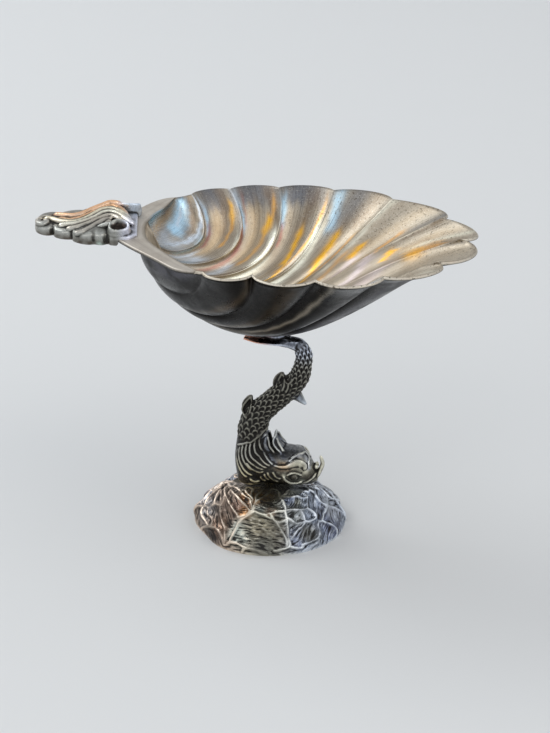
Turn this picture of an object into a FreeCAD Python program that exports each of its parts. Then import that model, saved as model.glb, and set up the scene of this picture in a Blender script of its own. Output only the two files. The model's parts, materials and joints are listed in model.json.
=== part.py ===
import FreeCAD, Part
import math
import os

# Shell salt cellar: a pressed fluted shell dish carried on the tail of a cast dolphin,
# which rests its head on a hollow cast rock and is drawn down on it by a stud and nut.
# Millimetres, +Z up, X along the shell with the thumb piece at -X.

Vector = FreeCAD.Vector

DIMENSIONS = (
    ("rim_height", 97.5, "rim plane of the dish above the table"),
    ("shell_half_length", 50.5, "middle of the dish to the cusps at its far end"),
    ("shell_half_width", 38.7, "middle of the dish to the cusps at its sides"),
    ("shell_centre_along", 7.0, "middle of the dish from the foot's axis, along X"),
    ("shell_centre_across", 1.0, "middle of the dish from the foot's axis, along Y"),
    ("shell_depth", 33.2, "rim plane to the bottom of the grooves"),
    ("deepest_along", 5.0, "deepest point of the dish from the foot's axis"),
    ("umbo_along", 37.6, "foot's axis back to the umbo where the flutes meet"),
    ("umbo_across", 4.0, "umbo from the foot's axis, along Y"),
    ("wall_start", 38.0, "foot's axis back to the steep end wall"),
    ("sheet_thickness", 0.9, "silver sheet of the dish"),
    ("tang_length", 13.5, "flange's tang beyond the umbo, under the thumb piece"),
    ("thumb_length", 30.0, "thumb piece from tip to root"),
    ("thumb_tip_along", 70.5, "foot's axis back to the tip of the thumb piece"),
    ("thumb_half_width", 13.7, "thumb piece at its root scrolls"),
    ("thumb_crest", 3.9, "thumb piece above the rim plane at its crest"),
    ("thumb_drop", 2.3, "thumb piece's edge below the rim plane"),
    ("plume_radius", 1.1, "strands of the central plume"),
    ("plume_spread", 2.5, "middle strand of the plume to its side strands"),
    ("scroll_radius", 3.85, "root scroll of the thumb piece"),
    ("scroll_hole_radius", 1.5, "open eye of the root scroll"),
    ("scroll_height", 2.3, "root scroll, top to bottom"),
    ("seat_clearance", 0.15, "end of the tang to the step of the thumb piece"),
    ("stem_girth", 5.5, "half thickness of the dolphin behind its head"),
    ("stem_sway", 10.5, "furthest reach of the dolphin's back along X"),
    ("head_length", 20.5, "back of the gills to the snout"),
    ("head_half_width", 6.8, "head across the cheeks, half"),
    ("head_height", 11.6, "flat of the chin to the top of the brow"),
    ("eye_radius", 1.5, "eyeball"),
    ("socket_radius", 2.0, "raised ring round the eyeball"),
    ("socket_rise", 0.5, "face of that ring beyond the eyeball's middle"),
    ("fin_thickness", 1.3, "fins of the back and belly"),
    ("tail_half_width", 5.0, "tail fin under the dish, half"),
    ("solder_gap", 0.12, "solder line between tail fin and dish"),
    ("foot_radius", 24.0, "rock's rim on the table"),
    ("foot_height", 14.5, "flat top of the rock"),
    ("foot_top_radius", 16.5, "rock at its shoulder"),
    ("scoop_depth", 1.3, "how deep the rock's chiselled faces are scooped"),
    ("scoop_reach", 2.0, "from a face's border to its full depth"),
    ("hollow_radius", 20.5, "hollow under the rock, at the table"),
    ("hollow_top_radius", 12.5, "hollow under the rock, at its roof"),
    ("roof_thickness", 3.0, "rock between its hollow and its flat top"),
    ("stud_radius", 1.75, "tie stud"),
    ("stud_clearance", 0.1, "tie stud in its holes"),
    ("stud_bite", 8.0, "tie stud inside the dolphin's head"),
    ("stud_tail", 0.9, "tie stud below its nut"),
    ("washer_radius", 4.6, "washer"),
    ("washer_thickness", 0.8, "washer"),
    ("nut_flats_radius", 3.5, "nut, middle to its flats"),
    ("nut_thickness", 3.0, "nut"),
    ("overrun", 5.0, "how far a cutting shape runs past what it cuts"),
)

# How finely the smooth forms are faceted.
DISH_ROWS = 14
FLUTE_COLUMNS = 6
RING_SIDES = 14
OUTLINE_POINTS = 20
BODY_STEPS = 2
HEAD_STEPS = 2
LIP_STEPS = 3
LEAF_STEPS = 2
PLUME_STEPS = 3

# Each flute's ridge: its cusp as shares of the half length and half width, its handles at
# the rim and at the umbo as shares of its chord, and its lift as a share of the depth.
RIDGE_SHARES = (
    (-0.695, 0.767, 0.53, 0.57, 0.03),
    (-0.473, 0.928, 0.46, 0.62, 0.03),
    (-0.172, 1.013, 0.36, 0.54, 0.03),
    (0.174, 1.000, 0.31, 0.56, 0.03),
    (0.547, 0.835, 0.27, 0.54, 0.04),
    (0.863, 0.429, 0.27, 0.56, 0.07),
    (0.986, -0.034, 0.31, 0.54, 0.08),
    (0.877, -0.548, 0.34, 0.50, 0.08),
    (0.590, -0.881, 0.24, 0.34, 0.02),
    (0.210, -1.000, 0.29, 0.36, 0.0),
    (-0.150, -0.953, 0.29, 0.40, 0.0),
    (-0.432, -0.948, 0.26, 0.45, 0.0),
)
# Headings of each ridge in plan, in degrees: inward from its cusp, and outward from the umbo.
RIDGE_DEGREES = ((-33, 59), (-40, 43), (-67, 31), (-104, 21), (-145, 12), (-192, 5.5),
                 (-220, 0), (-236, -7), (-242, -26), (-245, -42), (-265, -60), (-274, -78))
# Outer handles of the four tongues at the far end, from their cusps, as shares of the half length.
TONGUE_SHARES = {
    6: (0.206, -0.006, 0.107, 0.147),
    7: (0.147, -0.002, 0.222, 0.065),
    8: (0.162, -0.014, 0.251, 0.063),
    9: (0.113, -0.036, 0.182, -0.038),
}
LOBE_BULGE_SHARE = 0.36
LOBE_SPREAD_SHARE = 0.2
LOBE_DROP_SHARE = 0.035
FLUTE_BULGE_SHARE = 0.25
# Cosine between the direction in which the sheet is thickened and its own normal: at a ridge,
# and the least that counts within a flute.
RIDGE_SLOPE_SHARE = 0.8
STEEPEST_SHARE = 0.7
# Stations of the surface's control rows, from the umbo to the rim.
ROW_SHARES = (0.0, 0.05, 0.12, 0.22, 0.35, 0.5, 0.65, 0.8, 0.92, 1.0)
CROSS_POWER = 1.75
KEEL_POWER = 1.18
END_POWER = 2.4
# Inner edge of the flat flange from the umbo to where it fades out, and its outer edge from
# back to front, as shares of the half length and half width from the middle of the dish.
FLANGE_BACK_SHARES = ((-0.875, 0.13), (-0.865, 0.27), (-0.82, 0.40), (-0.805, 0.54), (-0.795, 0.62),
                      (-0.79, 0.67))
FLANGE_FRONT_SHARES = ((-0.88, -0.08), (-0.85, -0.27), (-0.79, -0.42), (-0.70, -0.58), (-0.61, -0.74),
                       (-0.475, -0.935))
OUTLINE_SHARES = ((-0.845, 0.66), (-0.93, 0.52), (-1.0, 0.39), (-1.06, 0.34), (-1.18, 0.16),
                  (-1.18, -0.18), (-1.05, -0.40), (-0.93, -0.49), (-0.82, -0.61), (-0.70, -0.77),
                  (-0.60, -0.93), (-0.53, -0.95))

# Thumb piece, from tip to root: station along its length, half width as a share of the root's,
# edge depth as a share of the drop and crest as a share of the crest height.
THUMB_SHARES = (
    (0.0, 0.24, 0.8, 0.38),
    (0.10, 0.40, 1.0, 0.50),
    (0.20, 0.55, 1.0, 0.60),
    (0.28, 0.80, 1.0, 0.68),
    (0.37, 0.84, 1.0, 0.76),
    (0.45, 0.72, 1.0, 0.84),
    (0.53, 0.88, 1.0, 0.92),
    (0.63, 0.94, 0.9, 1.0),
    (0.72, 0.80, 0.7, 1.0),
    (0.84, 0.68, 0.5, 0.92),
    (1.0, 0.24, 0.5, 0.60),
)
PLUME_SHARES = ((0.05, 0.30), (0.22, 0.50), (0.42, 0.72), (0.62, 0.92), (0.76, 0.98), (0.90, 0.62))
# Leaf section: share of the half width, then height as a share of the edge; 2 marks the crown.
LEAF_SHARES = ((-1.0, 0.5), (-0.8, 0.0), (0.0, 0.0), (0.8, 0.0), (1.0, 0.5), (0.8, 1.0), (0.0, 2.0),
               (-0.8, 1.0))
LEAF_CREST_SHARE = 0.8
SCROLL_SEAT_SHARE = 0.4
SCROLL_STATION_SHARE = 0.8
LEAF_EDGE_SHARE = 0.75
PLUME_GIRTH_SHARES = (0.5, 0.9, 1.0, 1.0, 0.9, 0.5)

# Dolphin's body from the gills to the bend of its tail: X as a share of the sway, height as a
# share of the stem, radius as a share of the girth.
BODY_SHARES = (
    (-0.50, 0.02, 0.96),
    (-0.545, 0.156, 1.0),
    (-0.535, 0.281, 0.89),
    (-0.41, 0.415, 0.85),
    (-0.08, 0.505, 0.73),
    (0.42, 0.612, 0.70),
    (0.85, 0.70, 0.57),
    (0.99, 0.80, 0.50),
    (0.99, 0.872, 0.47),
    (0.88, 0.935, 0.42),
)
# Tail fin from the bend to its tip: X as a share of the sway, half width as a share of the
# tail's, half thickness as a share of the girth.
TAIL_SHARES = ((0.60, 0.62, 0.27), (0.25, 0.95, 0.18), (-0.2, 1.0, 0.13), (-0.56, 0.45, 0.09),
               (-0.72, 0.12, 0.05))
# Head from the gills to the snout: station, half width, top and bottom as shares of the head.
HEAD_SHARES = ((0.0, 0.70, 1.08, -0.02), (0.22, 0.93, 1.06, -0.05), (0.46, 1.0, 0.94, -0.06),
               (0.66, 0.96, 1.0, -0.06), (0.82, 0.78, 0.86, -0.05), (0.93, 0.52, 0.58, -0.03),
               (1.0, 0.22, 0.28, 0.02))
# Curled lip: station, height, half width and half thickness as shares of the head.
LIP_SHARES = ((0.74, -0.02, 0.40, 0.07), (0.90, 0.02, 0.36, 0.06), (1.02, 0.16, 0.26, 0.055),
              (1.07, 0.42, 0.16, 0.05), (1.03, 0.70, 0.06, 0.03))
# Fins: base behind, tip, base before, as shares of the sway and of the stem.
FIN_SHARES = (
    ((-0.72, 0.47), (-0.55, 0.595), (-0.30, 0.53)),
    ((0.15, 0.67), (0.37, 0.77), (0.66, 0.70)),
    ((0.60, 0.56), (1.10, 0.535), (0.92, 0.63)),
)
# Blades of the gill frill that stand free of the neck: X and height as shares of the head.
FRILL_SHARES = (
    ((0.30, 1.42), (0.22, 1.20), (0.28, 0.95), (0.45, 0.72), (0.58, 0.70), (0.42, 1.02), (0.36, 1.2)),
    ((0.44, 1.42), (0.42, 1.20), (0.46, 1.0), (0.58, 0.80), (0.70, 0.84), (0.56, 1.02), (0.50, 1.2)),
)
FRILL_WIDTH_SHARE = 0.42
# Middle of the eye: station, distance from the middle plane and height.
EYE_SHARES = (0.66, 0.86, 0.42)
# Rock: rings from the table to the shoulder, height and outward spread as shares.
ROCK_SHARES = ((0.0, 1.0), (0.30, 0.86), (0.62, 0.52), (0.90, 0.12), (1.0, -0.30))
# Chiselled faces of the rock's front: height of the middle, half length and half width, as
# shares of the rock's height, then degrees round the axis and tilt of the length in degrees.
ROCK_FACE_SHARES = (
    (0.44, 0.59, 0.41), (0.96, 0.34, 0.24), (0.92, 0.26, 0.16), (0.73, 0.22, 0.16), (0.75, 0.18, 0.12),
    (0.80, 0.31, 0.28), (0.21, 0.34, 0.38), (0.41, 0.28, 0.24), (0.41, 0.15, 0.29), (1.00, 0.41, 0.18),
    (0.84, 0.25, 0.15), (0.56, 0.28, 0.21), (0.57, 0.31, 0.17), (0.18, 0.29, 0.18), (0.26, 0.21, 0.28),
    (1.00, 0.24, 0.15), (0.96, 0.14, 0.14), (1.00, 0.14, 0.14), (0.98, 0.14, 0.14), (0.09, 0.33, 0.10),
    (0.10, 0.33, 0.10), (0.16, 0.23, 0.12), (0.37, 0.21, 0.21), (0.84, 0.24, 0.15), (0.46, 0.11, 0.22),
    (0.64, 0.14, 0.12), (0.57, 0.10, 0.23), (0.78, 0.25, 0.17), (1.00, 0.22, 0.12), (1.00, 0.23, 0.10),
)
ROCK_FACE_DEGREES = (
    (-91, 0), (-84, 15), (-50, 0), (-58, 0), (-75, -10), (-23, -40), (-23, 90), (-48, 25), (-63, 90),
    (-128, -35), (-109, -40), (-142, 0), (-127, -60), (-131, -30), (-160, 90), (-137, -20), (-171, 0),
    (-180, 0), (172, 0), (-97, -8), (-70, 5), (-51, 25), (-5, 0), (-3, -35), (-112, 90), (-45, 0),
    (-71, 90), (-153, 50), (-104, 10), (-41, 0),
)
# Faces of the rock's back: how many, where they start, how far they go round, their sizes as
# shares of the rock's height and the step of their tilt.
BACK_FACES = 26
BACK_DEGREES = (8, 162, 67)
BACK_FACE_SHARES = (0.28, 0.20)
GOLDEN_SHARE = 0.618034
ROCK_SIDES = 60
ROCK_STEPS = 3


def make_sheet(doc):
    """Spreadsheet with every driving dimension, one row each."""
    sheet = doc.addObject("Spreadsheet::Sheet", "dimensions")
    for row, (alias, value, note) in enumerate(DIMENSIONS, start=1):
        sheet.set("A%d" % row, alias)
        sheet.set("B%d" % row, str(value))
        sheet.set("C%d" % row, note)
        sheet.setAlias("B%d" % row, alias)
    doc.recompute()
    return sheet


class Sizes:
    """The sheet's values by name."""

    def __init__(self, sheet):
        for alias, _, _ in DIMENSIONS:
            setattr(self, alias, float(sheet.get(alias)))


def polar(degrees, length):
    """Plan vector of a length at an angle."""
    angle = math.radians(degrees)
    return Vector(length * math.cos(angle), length * math.sin(angle), 0)


def bezier(points, share):
    """Point on a Bezier curve."""
    while len(points) > 1:
        points = [a + (b - a) * share for a, b in zip(points, points[1:])]
    return points[0]


class ShellForm:
    """Control nets of the fluted dish, inside and outside of its sheet."""

    def __init__(self, size):
        self.size = size
        self.umbo = Vector(-size.umbo_along, size.umbo_across, size.rim_height)
        self.ridges = [self.ridge(index) for index in range(len(RIDGE_SHARES))]
        self.back = self.flange_edge(FLANGE_BACK_SHARES)
        self.front = self.flange_edge(FLANGE_FRONT_SHARES)
        edges = [self.back] + self.ridges + [self.front]
        nets = [self.net(index + 1, a, b) for index, (a, b) in enumerate(zip(edges, edges[1:]))]
        tip = [[self.umbo] * (FLUTE_COLUMNS + 1)]
        self.inner = [tip + grid(net)[1:] for net in nets]
        self.outer = self.offset_grids()

    def place(self, along, across):
        """Point of the rim plane from shares of the dish's half length and half width."""
        size = self.size
        return Vector(size.shell_centre_along + along * size.shell_half_length,
                      size.shell_centre_across + across * size.shell_half_width, size.rim_height)

    def depth(self, point):
        """Depth of the grooves under a point of the rim plane."""
        size = self.size
        far = size.shell_centre_along + size.shell_half_length
        if point.x <= size.deepest_along:
            back = min(1.0, (size.deepest_along - point.x) / (size.deepest_along + size.wall_start))
            keel = size.shell_depth * math.sqrt(1.0 - back * back)
        else:
            ahead = min(1.0, (point.x - size.deepest_along) / (far - size.deepest_along))
            keel = size.shell_depth * (1.0 - ahead ** KEEL_POWER)
        if point.x >= size.shell_centre_along:
            ahead = min(1.0, (point.x - size.shell_centre_along) / size.shell_half_length)
            beam = math.sqrt(1.0 - ahead * ahead)
        else:
            back = (size.shell_centre_along - point.x) / (size.shell_centre_along + size.wall_start)
            beam = (1.0 - min(1.0, back) ** END_POWER) ** (1.0 / END_POWER)
        reach = abs(point.y - size.shell_centre_across)
        side = min(1.0, reach / (beam * size.shell_half_width)) if beam > 0 else 1.0
        return keel * (1.0 - side ** CROSS_POWER)

    def ridge(self, index):
        """Control points of one ridge, from the umbo to its cusp on the rim."""
        along, across, rim_share, umbo_share, lift_share = RIDGE_SHARES[index]
        rim_degrees, umbo_degrees = RIDGE_DEGREES[index]
        cusp = self.place(along, across)
        chord = (cusp - self.umbo).Length
        handles = [self.umbo, self.umbo + polar(umbo_degrees, umbo_share * chord),
                   cusp + polar(rim_degrees, rim_share * chord), cusp]
        points = []
        for share in ROW_SHARES:
            point = bezier(handles, share)
            lift = lift_share * self.size.shell_depth * math.sin(math.pi * share)
            points.append(point - Vector(0, 0, max(0.0, self.depth(point) - lift)))
        points[0] = self.umbo
        points[-1] = cusp
        return points

    def flange_edge(self, shares):
        """Control points of the flange's inner edge, on the rim plane."""
        corners = [self.umbo] + [self.place(*pair) for pair in shares]
        rows = []
        for share in ROW_SHARES:
            reach = share * (len(corners) - 1)
            first = min(int(reach), len(corners) - 2)
            rows.append(corners[first] + (corners[first + 1] - corners[first]) * (reach - first))
        return rows

    def rim_handles(self, lobe, start, end):
        """Outer control points of a lobe's rim between two cusps."""
        size = self.size
        if lobe in TONGUE_SHARES:
            first_x, first_y, second_x, second_y = TONGUE_SHARES[lobe]
            unit = size.shell_half_length
            handles = (start + Vector(first_x * unit, first_y * unit, 0),
                       end + Vector(second_x * unit, second_y * unit, 0))
        else:
            chord = end - start
            outward = Vector(0, 0, 1).cross(chord)
            bulge = outward * (LOBE_BULGE_SHARE if 1 < lobe < len(self.ridges) + 1 else 0)
            handles = (start + chord * LOBE_SPREAD_SHARE + bulge,
                       end - chord * LOBE_SPREAD_SHARE + bulge)
        drop = Vector(0, 0, LOBE_DROP_SHARE * (end - start).Length)
        return [handle - drop for handle in handles]

    def net(self, lobe, left, right):
        """Four control columns of one flute, bulging out between its two ridges."""
        size = self.size
        middle = Vector(size.deepest_along, size.shell_centre_across, size.rim_height)
        rows = []
        for start, end in zip(left, right):
            chord = end - start
            outward = (start + end) / 2 - middle
            outward.z *= size.shell_half_width / size.shell_depth
            if outward.Length > 0:
                outward.normalize()
            bulge = outward * (FLUTE_BULGE_SHARE * chord.Length)
            rows.append([start, start + chord * LOBE_SPREAD_SHARE + bulge,
                         end - chord * LOBE_SPREAD_SHARE + bulge, end])
        rows[0] = [self.umbo] * 4
        rows[-1][1:3] = self.rim_handles(lobe, left[-1], right[-1])
        return rows

    @staticmethod
    def ridge_normals(flute):
        """Unit normals of a flute's chords along its two ridges, out of the dish."""
        sides = []
        for column in (0, -1):
            line = []
            for row in range(1, len(flute)):
                up = flute[min(row + 1, len(flute) - 1)][column] - flute[row - 1][column]
                chord = flute[row][-1] - flute[row][0]
                line.append(up.cross(chord).normalize())
            sides.append([None] + line)
        return sides

    def offset_grids(self):
        """Outer points, one sheet's thickness outside the inner ones, sharing their ridges."""
        wall = self.size.sheet_thickness
        sides = [self.ridge_normals(flute) for flute in self.inner]
        for (_, right), (left, _) in zip(sides, sides[1:]):
            for row in range(1, len(right)):
                shared = (right[row] + left[row]).normalize()
                right[row] = left[row] = shared
        grids = []
        for flute, (left, right) in zip(self.inner, sides):
            rows = [[self.umbo + Vector(-wall, 0, -wall)] * len(flute[0])]
            for row in range(1, len(flute)):
                rows.append([self.offset_point(flute, row, column, left[row], right[row])
                             for column in range(len(flute[row]))])
            grids.append(rows)
        for column, flute, outer in ((0, self.inner[0], grids[0]), (-1, self.inner[-1], grids[-1])):
            for row in range(1, len(flute)):
                ahead = flute[min(row + 1, len(flute) - 1)][column] - flute[row - 1][column]
                side = ahead.cross(Vector(0, 0, -1 if column else 1)).normalize()
                outer[row][column] = flute[row][column] - side * wall - Vector(0, 0, wall)
        return grids

    def offset_point(self, flute, row, column, left, right):
        """Outside of the sheet at one grid point, between the directions of its two ridges."""
        last = len(flute[row]) - 1
        share = column / last
        direction = (left * (1.0 - share) + right * share).normalize()
        slope = RIDGE_SLOPE_SHARE
        if 0 < column < last:
            up = flute[min(row + 1, len(flute) - 1)][column] - flute[row - 1][column]
            over = flute[row][column + 1] - flute[row][column - 1]
            slope = max(direction.dot(up.cross(over).normalize()), STEEPEST_SHARE)
        return flute[row][column] + direction * (self.size.sheet_thickness / slope)

    def solid(self):
        """Closed solid of the pressed sheet with its flange and tang."""
        faces = []
        for inner, outer in zip(self.inner, self.outer):
            faces += skin(inner) + skin(outer) + skin([inner[-1], outer[-1]])
        return closed_solid(faces + self.flange_faces())

    def outline(self, drop=0.0):
        """Control points of the flange's outer edge, from back to front."""
        points = [self.place(*pair) - Vector(0, 0, drop) for pair in OUTLINE_SHARES]
        for number, point in enumerate(points):
            if point.x < -self.size.umbo_along - self.size.tang_length:
                points[number] = Vector(-self.size.umbo_along - self.size.tang_length, point.y, point.z)
        return points

    def flange_faces(self):
        """Top, underside and edge of the flat flange and tang."""
        top_inner = ([row[0] for row in self.inner[0]], [row[-1] for row in self.inner[-1]])
        low_inner = ([row[0] for row in self.outer[0]], [row[-1] for row in self.outer[-1]])
        faces, edges = [], []
        for (back, front), drop in ((top_inner, 0.0), (low_inner, self.size.sheet_thickness)):
            edge = spline([back[-1]] + self.outline(drop) + [front[-1]])
            faces.append(Part.Face(Part.Wire([Part.makePolygon(back), edge, Part.makePolygon(front)])))
            edges.append(edge)
        return faces + [Part.makeRuledSurface(*edges)]


def clamped(count):
    """Multiplicities and knots of a clamped cubic spline with evenly spaced knots."""
    spans = count - 3
    return [4] + [1] * (spans - 1) + [4], [float(knot) for knot in range(spans + 1)]


def spline(points):
    """Edge of a clamped cubic spline on control points."""
    counts, knots = clamped(len(points))
    curve = Part.BSplineCurve()
    curve.buildFromPolesMultsKnots(points, counts, knots, False, 3)
    return curve.toShape()


def grid(net):
    """Points of a smooth bicubic surface on a control net, in even steps each way."""
    row_counts, row_knots = clamped(len(net))
    column_counts, column_knots = clamped(len(net[0]))
    surface = Part.BSplineSurface()
    surface.buildFromPolesMultsKnots(net, row_counts, column_counts, row_knots, column_knots,
                                     False, False, 3, 3)
    return [[surface.value(row_knots[-1] * row / DISH_ROWS, column_knots[-1] * column / FLUTE_COLUMNS)
             for column in range(FLUTE_COLUMNS + 1)] for row in range(DISH_ROWS + 1)]


def skin(rows):
    """Triangular faces between neighbouring rows of points, split along their shorter diagonals."""
    faces = []
    for low, high in zip(rows, rows[1:]):
        for a, b, c, d in zip(low, low[1:], high[1:], high):
            if (a - c).Length <= (b - d).Length:
                triangles = ((a, b, c), (a, c, d))
            else:
                triangles = ((a, b, d), (b, c, d))
            faces += [Part.Face(Part.makePolygon([p, q, r, p])) for p, q, r in triangles
                      if p != q and q != r and r != p]
    return faces


def closed_solid(faces):
    """Solid inside faces that meet edge to edge."""
    shell = Part.Shell(faces)
    shell.sewShape()
    solid = Part.Solid(shell)
    if solid.Volume < 0:
        solid.reverse()
    return solid


def ring(centre, across, rise):
    """Points of an oval section about a centre, with two half axes."""
    turns = [2.0 * math.pi * number / RING_SIDES for number in range(RING_SIDES)]
    return [centre + across * math.cos(turn) + rise * math.sin(turn) for turn in turns]


def loft(rings):
    """Solid through closed rings of points, capped at both ends."""
    closed = [points + points[:1] for points in rings]
    caps = [Part.Face(Part.makePolygon(closed[0])), Part.Face(Part.makePolygon(closed[-1]))]
    return closed_solid(skin(closed) + caps)


def smooth_rows(rows, steps):
    """Rows of numbers, with rows of their smooth curves added in steps between each two."""
    places = [float(number) for number in range(len(rows))]
    columns = []
    for values in zip(*rows):
        curve = Part.BSplineCurve()
        curve.interpolate(Points=[Vector(value, 0, place) for value, place in zip(values, places)],
                          Parameters=places)
        columns.append([curve.value(number / steps).x for number in range(steps * (len(rows) - 1) + 1)])
    return list(zip(*columns))


def smooth_outline(points):
    """Corners of the smooth closed curve through points."""
    curve = Part.BSplineCurve()
    curve.interpolate(points, PeriodicFlag=True)
    step = (curve.LastParameter - curve.FirstParameter) / OUTLINE_POINTS
    return [curve.value(curve.FirstParameter + step * number) for number in range(OUTLINE_POINTS)]


def strand(rows, steps):
    """Solid of flat oval section along rows of a middle point, a half width and a half thickness."""
    rows = smooth_rows(rows, steps)
    line = [Vector(*row[:3]) for row in rows]
    sections = []
    for number, (centre, row) in enumerate(zip(line, rows)):
        ahead = line[min(number + 1, len(line) - 1)] - line[max(number - 1, 0)]
        ahead.y = 0
        rise = ahead.normalize().cross(Vector(0, row[4], 0))
        sections.append(ring(centre, Vector(0, row[3], 0), rise))
    return loft(sections)


def fuse_all(base, pieces):
    """One casting from a body and the pieces that grow out of it."""
    for piece in pieces:
        base = base.fuse(piece)
    return base


def leaf_section(size, station, width_share, drop_share, crest_share):
    """Section of the thumb piece: rounded edges, nearly flat under and domed on top."""
    along = station * size.thumb_length - size.thumb_tip_along
    half = width_share * size.thumb_half_width
    low = size.rim_height - drop_share * size.thumb_drop
    crown = size.rim_height + crest_share * size.thumb_crest - LEAF_CREST_SHARE * size.plume_radius
    high = low + LEAF_EDGE_SHARE * (crown - low)
    points = []
    for across, height in LEAF_SHARES:
        span = (crown if height > 1 else high) - low
        points.append(Vector(along, across * half, low + min(height, 1.0) * span))
    return smooth_outline(points)


def plume_strand(size, side):
    """One wavy strand of the leaf's plume: the middle one or one beside it."""
    rows = []
    for (station, height), girth in zip(PLUME_SHARES, PLUME_GIRTH_SHARES):
        spread = side * size.plume_spread * math.sqrt(math.sin(math.pi * station))
        crest = size.rim_height + height * (size.thumb_crest - size.plume_radius)
        radius = girth * size.plume_radius
        rows.append((station * size.thumb_length - size.thumb_tip_along, spread, crest, radius, radius))
    return strand(rows, PLUME_STEPS)


def root_scroll(size, side):
    """Open scroll at the leaf's root."""
    bottom = Vector(SCROLL_STATION_SHARE * size.thumb_length - size.thumb_tip_along,
                    side * (size.thumb_half_width - size.scroll_radius),
                    size.rim_height + (SCROLL_SEAT_SHARE - 0.5) * size.scroll_height)
    roll = Part.makeCylinder(size.scroll_radius, size.scroll_height, bottom)
    return roll.cut(Part.makeCylinder(size.scroll_hole_radius, size.scroll_height, bottom))


def thumb_solid(size):
    """Cast leaf with its plume and root scrolls, stepped to lie on the tang."""
    leaf = loft([leaf_section(size, *row) for row in smooth_rows(THUMB_SHARES, LEAF_STEPS)])
    body = fuse_all(leaf, [plume_strand(size, side) for side in (-1, 0, 1)]
                    + [root_scroll(size, side) for side in (-1, 1)])
    box = body.BoundBox
    tang_end = -size.umbo_along - size.tang_length - size.seat_clearance
    seat = Part.makeBox(box.XMax - tang_end + size.overrun, box.YLength + 2 * size.overrun,
                        size.rim_height - box.ZMin + size.overrun,
                        Vector(tang_end, box.YMin - size.overrun, box.ZMin - size.overrun))
    return body.cut(seat)


def stem_point(size, tail_height, along, height):
    """Point of the dolphin's side view."""
    return Vector(along * size.stem_sway, 0,
                  size.foot_height + height * (tail_height - size.foot_height))


def body_solid(size, tail_height):
    """Body from the gills up to the bend, running out into the flat tail fin."""
    rows = []
    for along, height, girth in BODY_SHARES:
        half = girth * size.stem_girth
        rows.append((*stem_point(size, tail_height, along, height), half, half))
    for along, width, thick in TAIL_SHARES:
        half = thick * size.stem_girth
        rows.append((along * size.stem_sway, 0, tail_height - half, width * size.tail_half_width, half))
    return strand(rows, BODY_STEPS)


def head_point(size, station, height):
    """Point of the head's side view: its stations start just behind the gills."""
    back = BODY_SHARES[0][0] * size.stem_sway
    return Vector(back + station * size.head_length, 0, size.foot_height + height * size.head_height)


def head_solid(size):
    """Head from the gills to the snout."""
    sections = []
    for station, width, top, bottom in smooth_rows(HEAD_SHARES, HEAD_STEPS):
        high = head_point(size, station, top)
        low = head_point(size, station, bottom)
        sections.append(ring((high + low) / 2, Vector(0, width * size.head_half_width, 0),
                             (high - low) / 2))
    return loft(sections)


def lip_solid(size):
    """Lip that curls up before the snout."""
    rows = [(*head_point(size, station, height), width * size.head_half_width,
             thick * size.head_height) for station, height, width, thick in LIP_SHARES]
    return strand(rows, LIP_STEPS)


def slab(corners, thickness):
    """Flat blade between two faces, standing in the plane of the dolphin's bend."""
    blade = Part.Face(Part.makePolygon(corners + corners[:1])).extrude(Vector(0, thickness, 0))
    blade.translate(Vector(0, -thickness / 2, 0))
    return blade


def eye_pieces(size):
    """Both eyeballs in their raised rings."""
    station, width, height = EYE_SHARES
    pieces = []
    for side in (-1, 1):
        middle = head_point(size, station, height)
        reach = width * size.head_half_width
        pieces.append(Part.makeCylinder(size.socket_radius, reach + size.socket_rise, middle,
                                        Vector(0, side, 0)))
        pieces.append(Part.makeSphere(size.eye_radius, middle + Vector(0, side * reach, 0)))
    return pieces


def dolphin_solid(size, tail_height):
    """Cast dolphin from its curled lip to the tail fin under the dish."""
    pieces = [head_solid(size), lip_solid(size)] + eye_pieces(size)
    for triangle in FIN_SHARES:
        corners = [stem_point(size, tail_height, along, height) for along, height in triangle]
        pieces.append(slab(corners, size.fin_thickness))
    for blade in FRILL_SHARES:
        corners = smooth_outline([head_point(size, along, height) for along, height in blade])
        pieces.append(slab(corners, 2 * FRILL_WIDTH_SHARE * size.head_half_width))
    fish = fuse_all(body_solid(size, tail_height), pieces)
    box = fish.BoundBox
    under = Part.makeBox(box.XLength + 2 * size.overrun, box.YLength + 2 * size.overrun,
                         size.foot_height - box.ZMin + size.overrun,
                         Vector(box.XMin - size.overrun, box.YMin - size.overrun,
                                box.ZMin - size.overrun))
    hole = Part.makeCylinder(size.stud_radius + size.stud_clearance, size.stud_bite + size.overrun,
                             Vector(0, 0, size.foot_height - size.overrun))
    return fish.cut(under).cut(hole)


def rock_profile(size):
    """Radius and height of the rock's outside, from the table to its shoulder."""
    rows = smooth_rows(ROCK_SHARES, ROCK_STEPS)
    return [(size.foot_top_radius + spread * (size.foot_radius - size.foot_top_radius),
             height * size.foot_height) for height, spread in rows]


def rock_normals(profile):
    """Outward normals of the rock's outside, in its own section."""
    normals = []
    for level in range(len(profile)):
        (reach, height), (next_reach, next_height) = (profile[max(level - 1, 0)],
                                                      profile[min(level + 1, len(profile) - 1)])
        normals.append(Vector(next_height - height, 0, reach - next_reach).normalize())
    return normals


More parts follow.
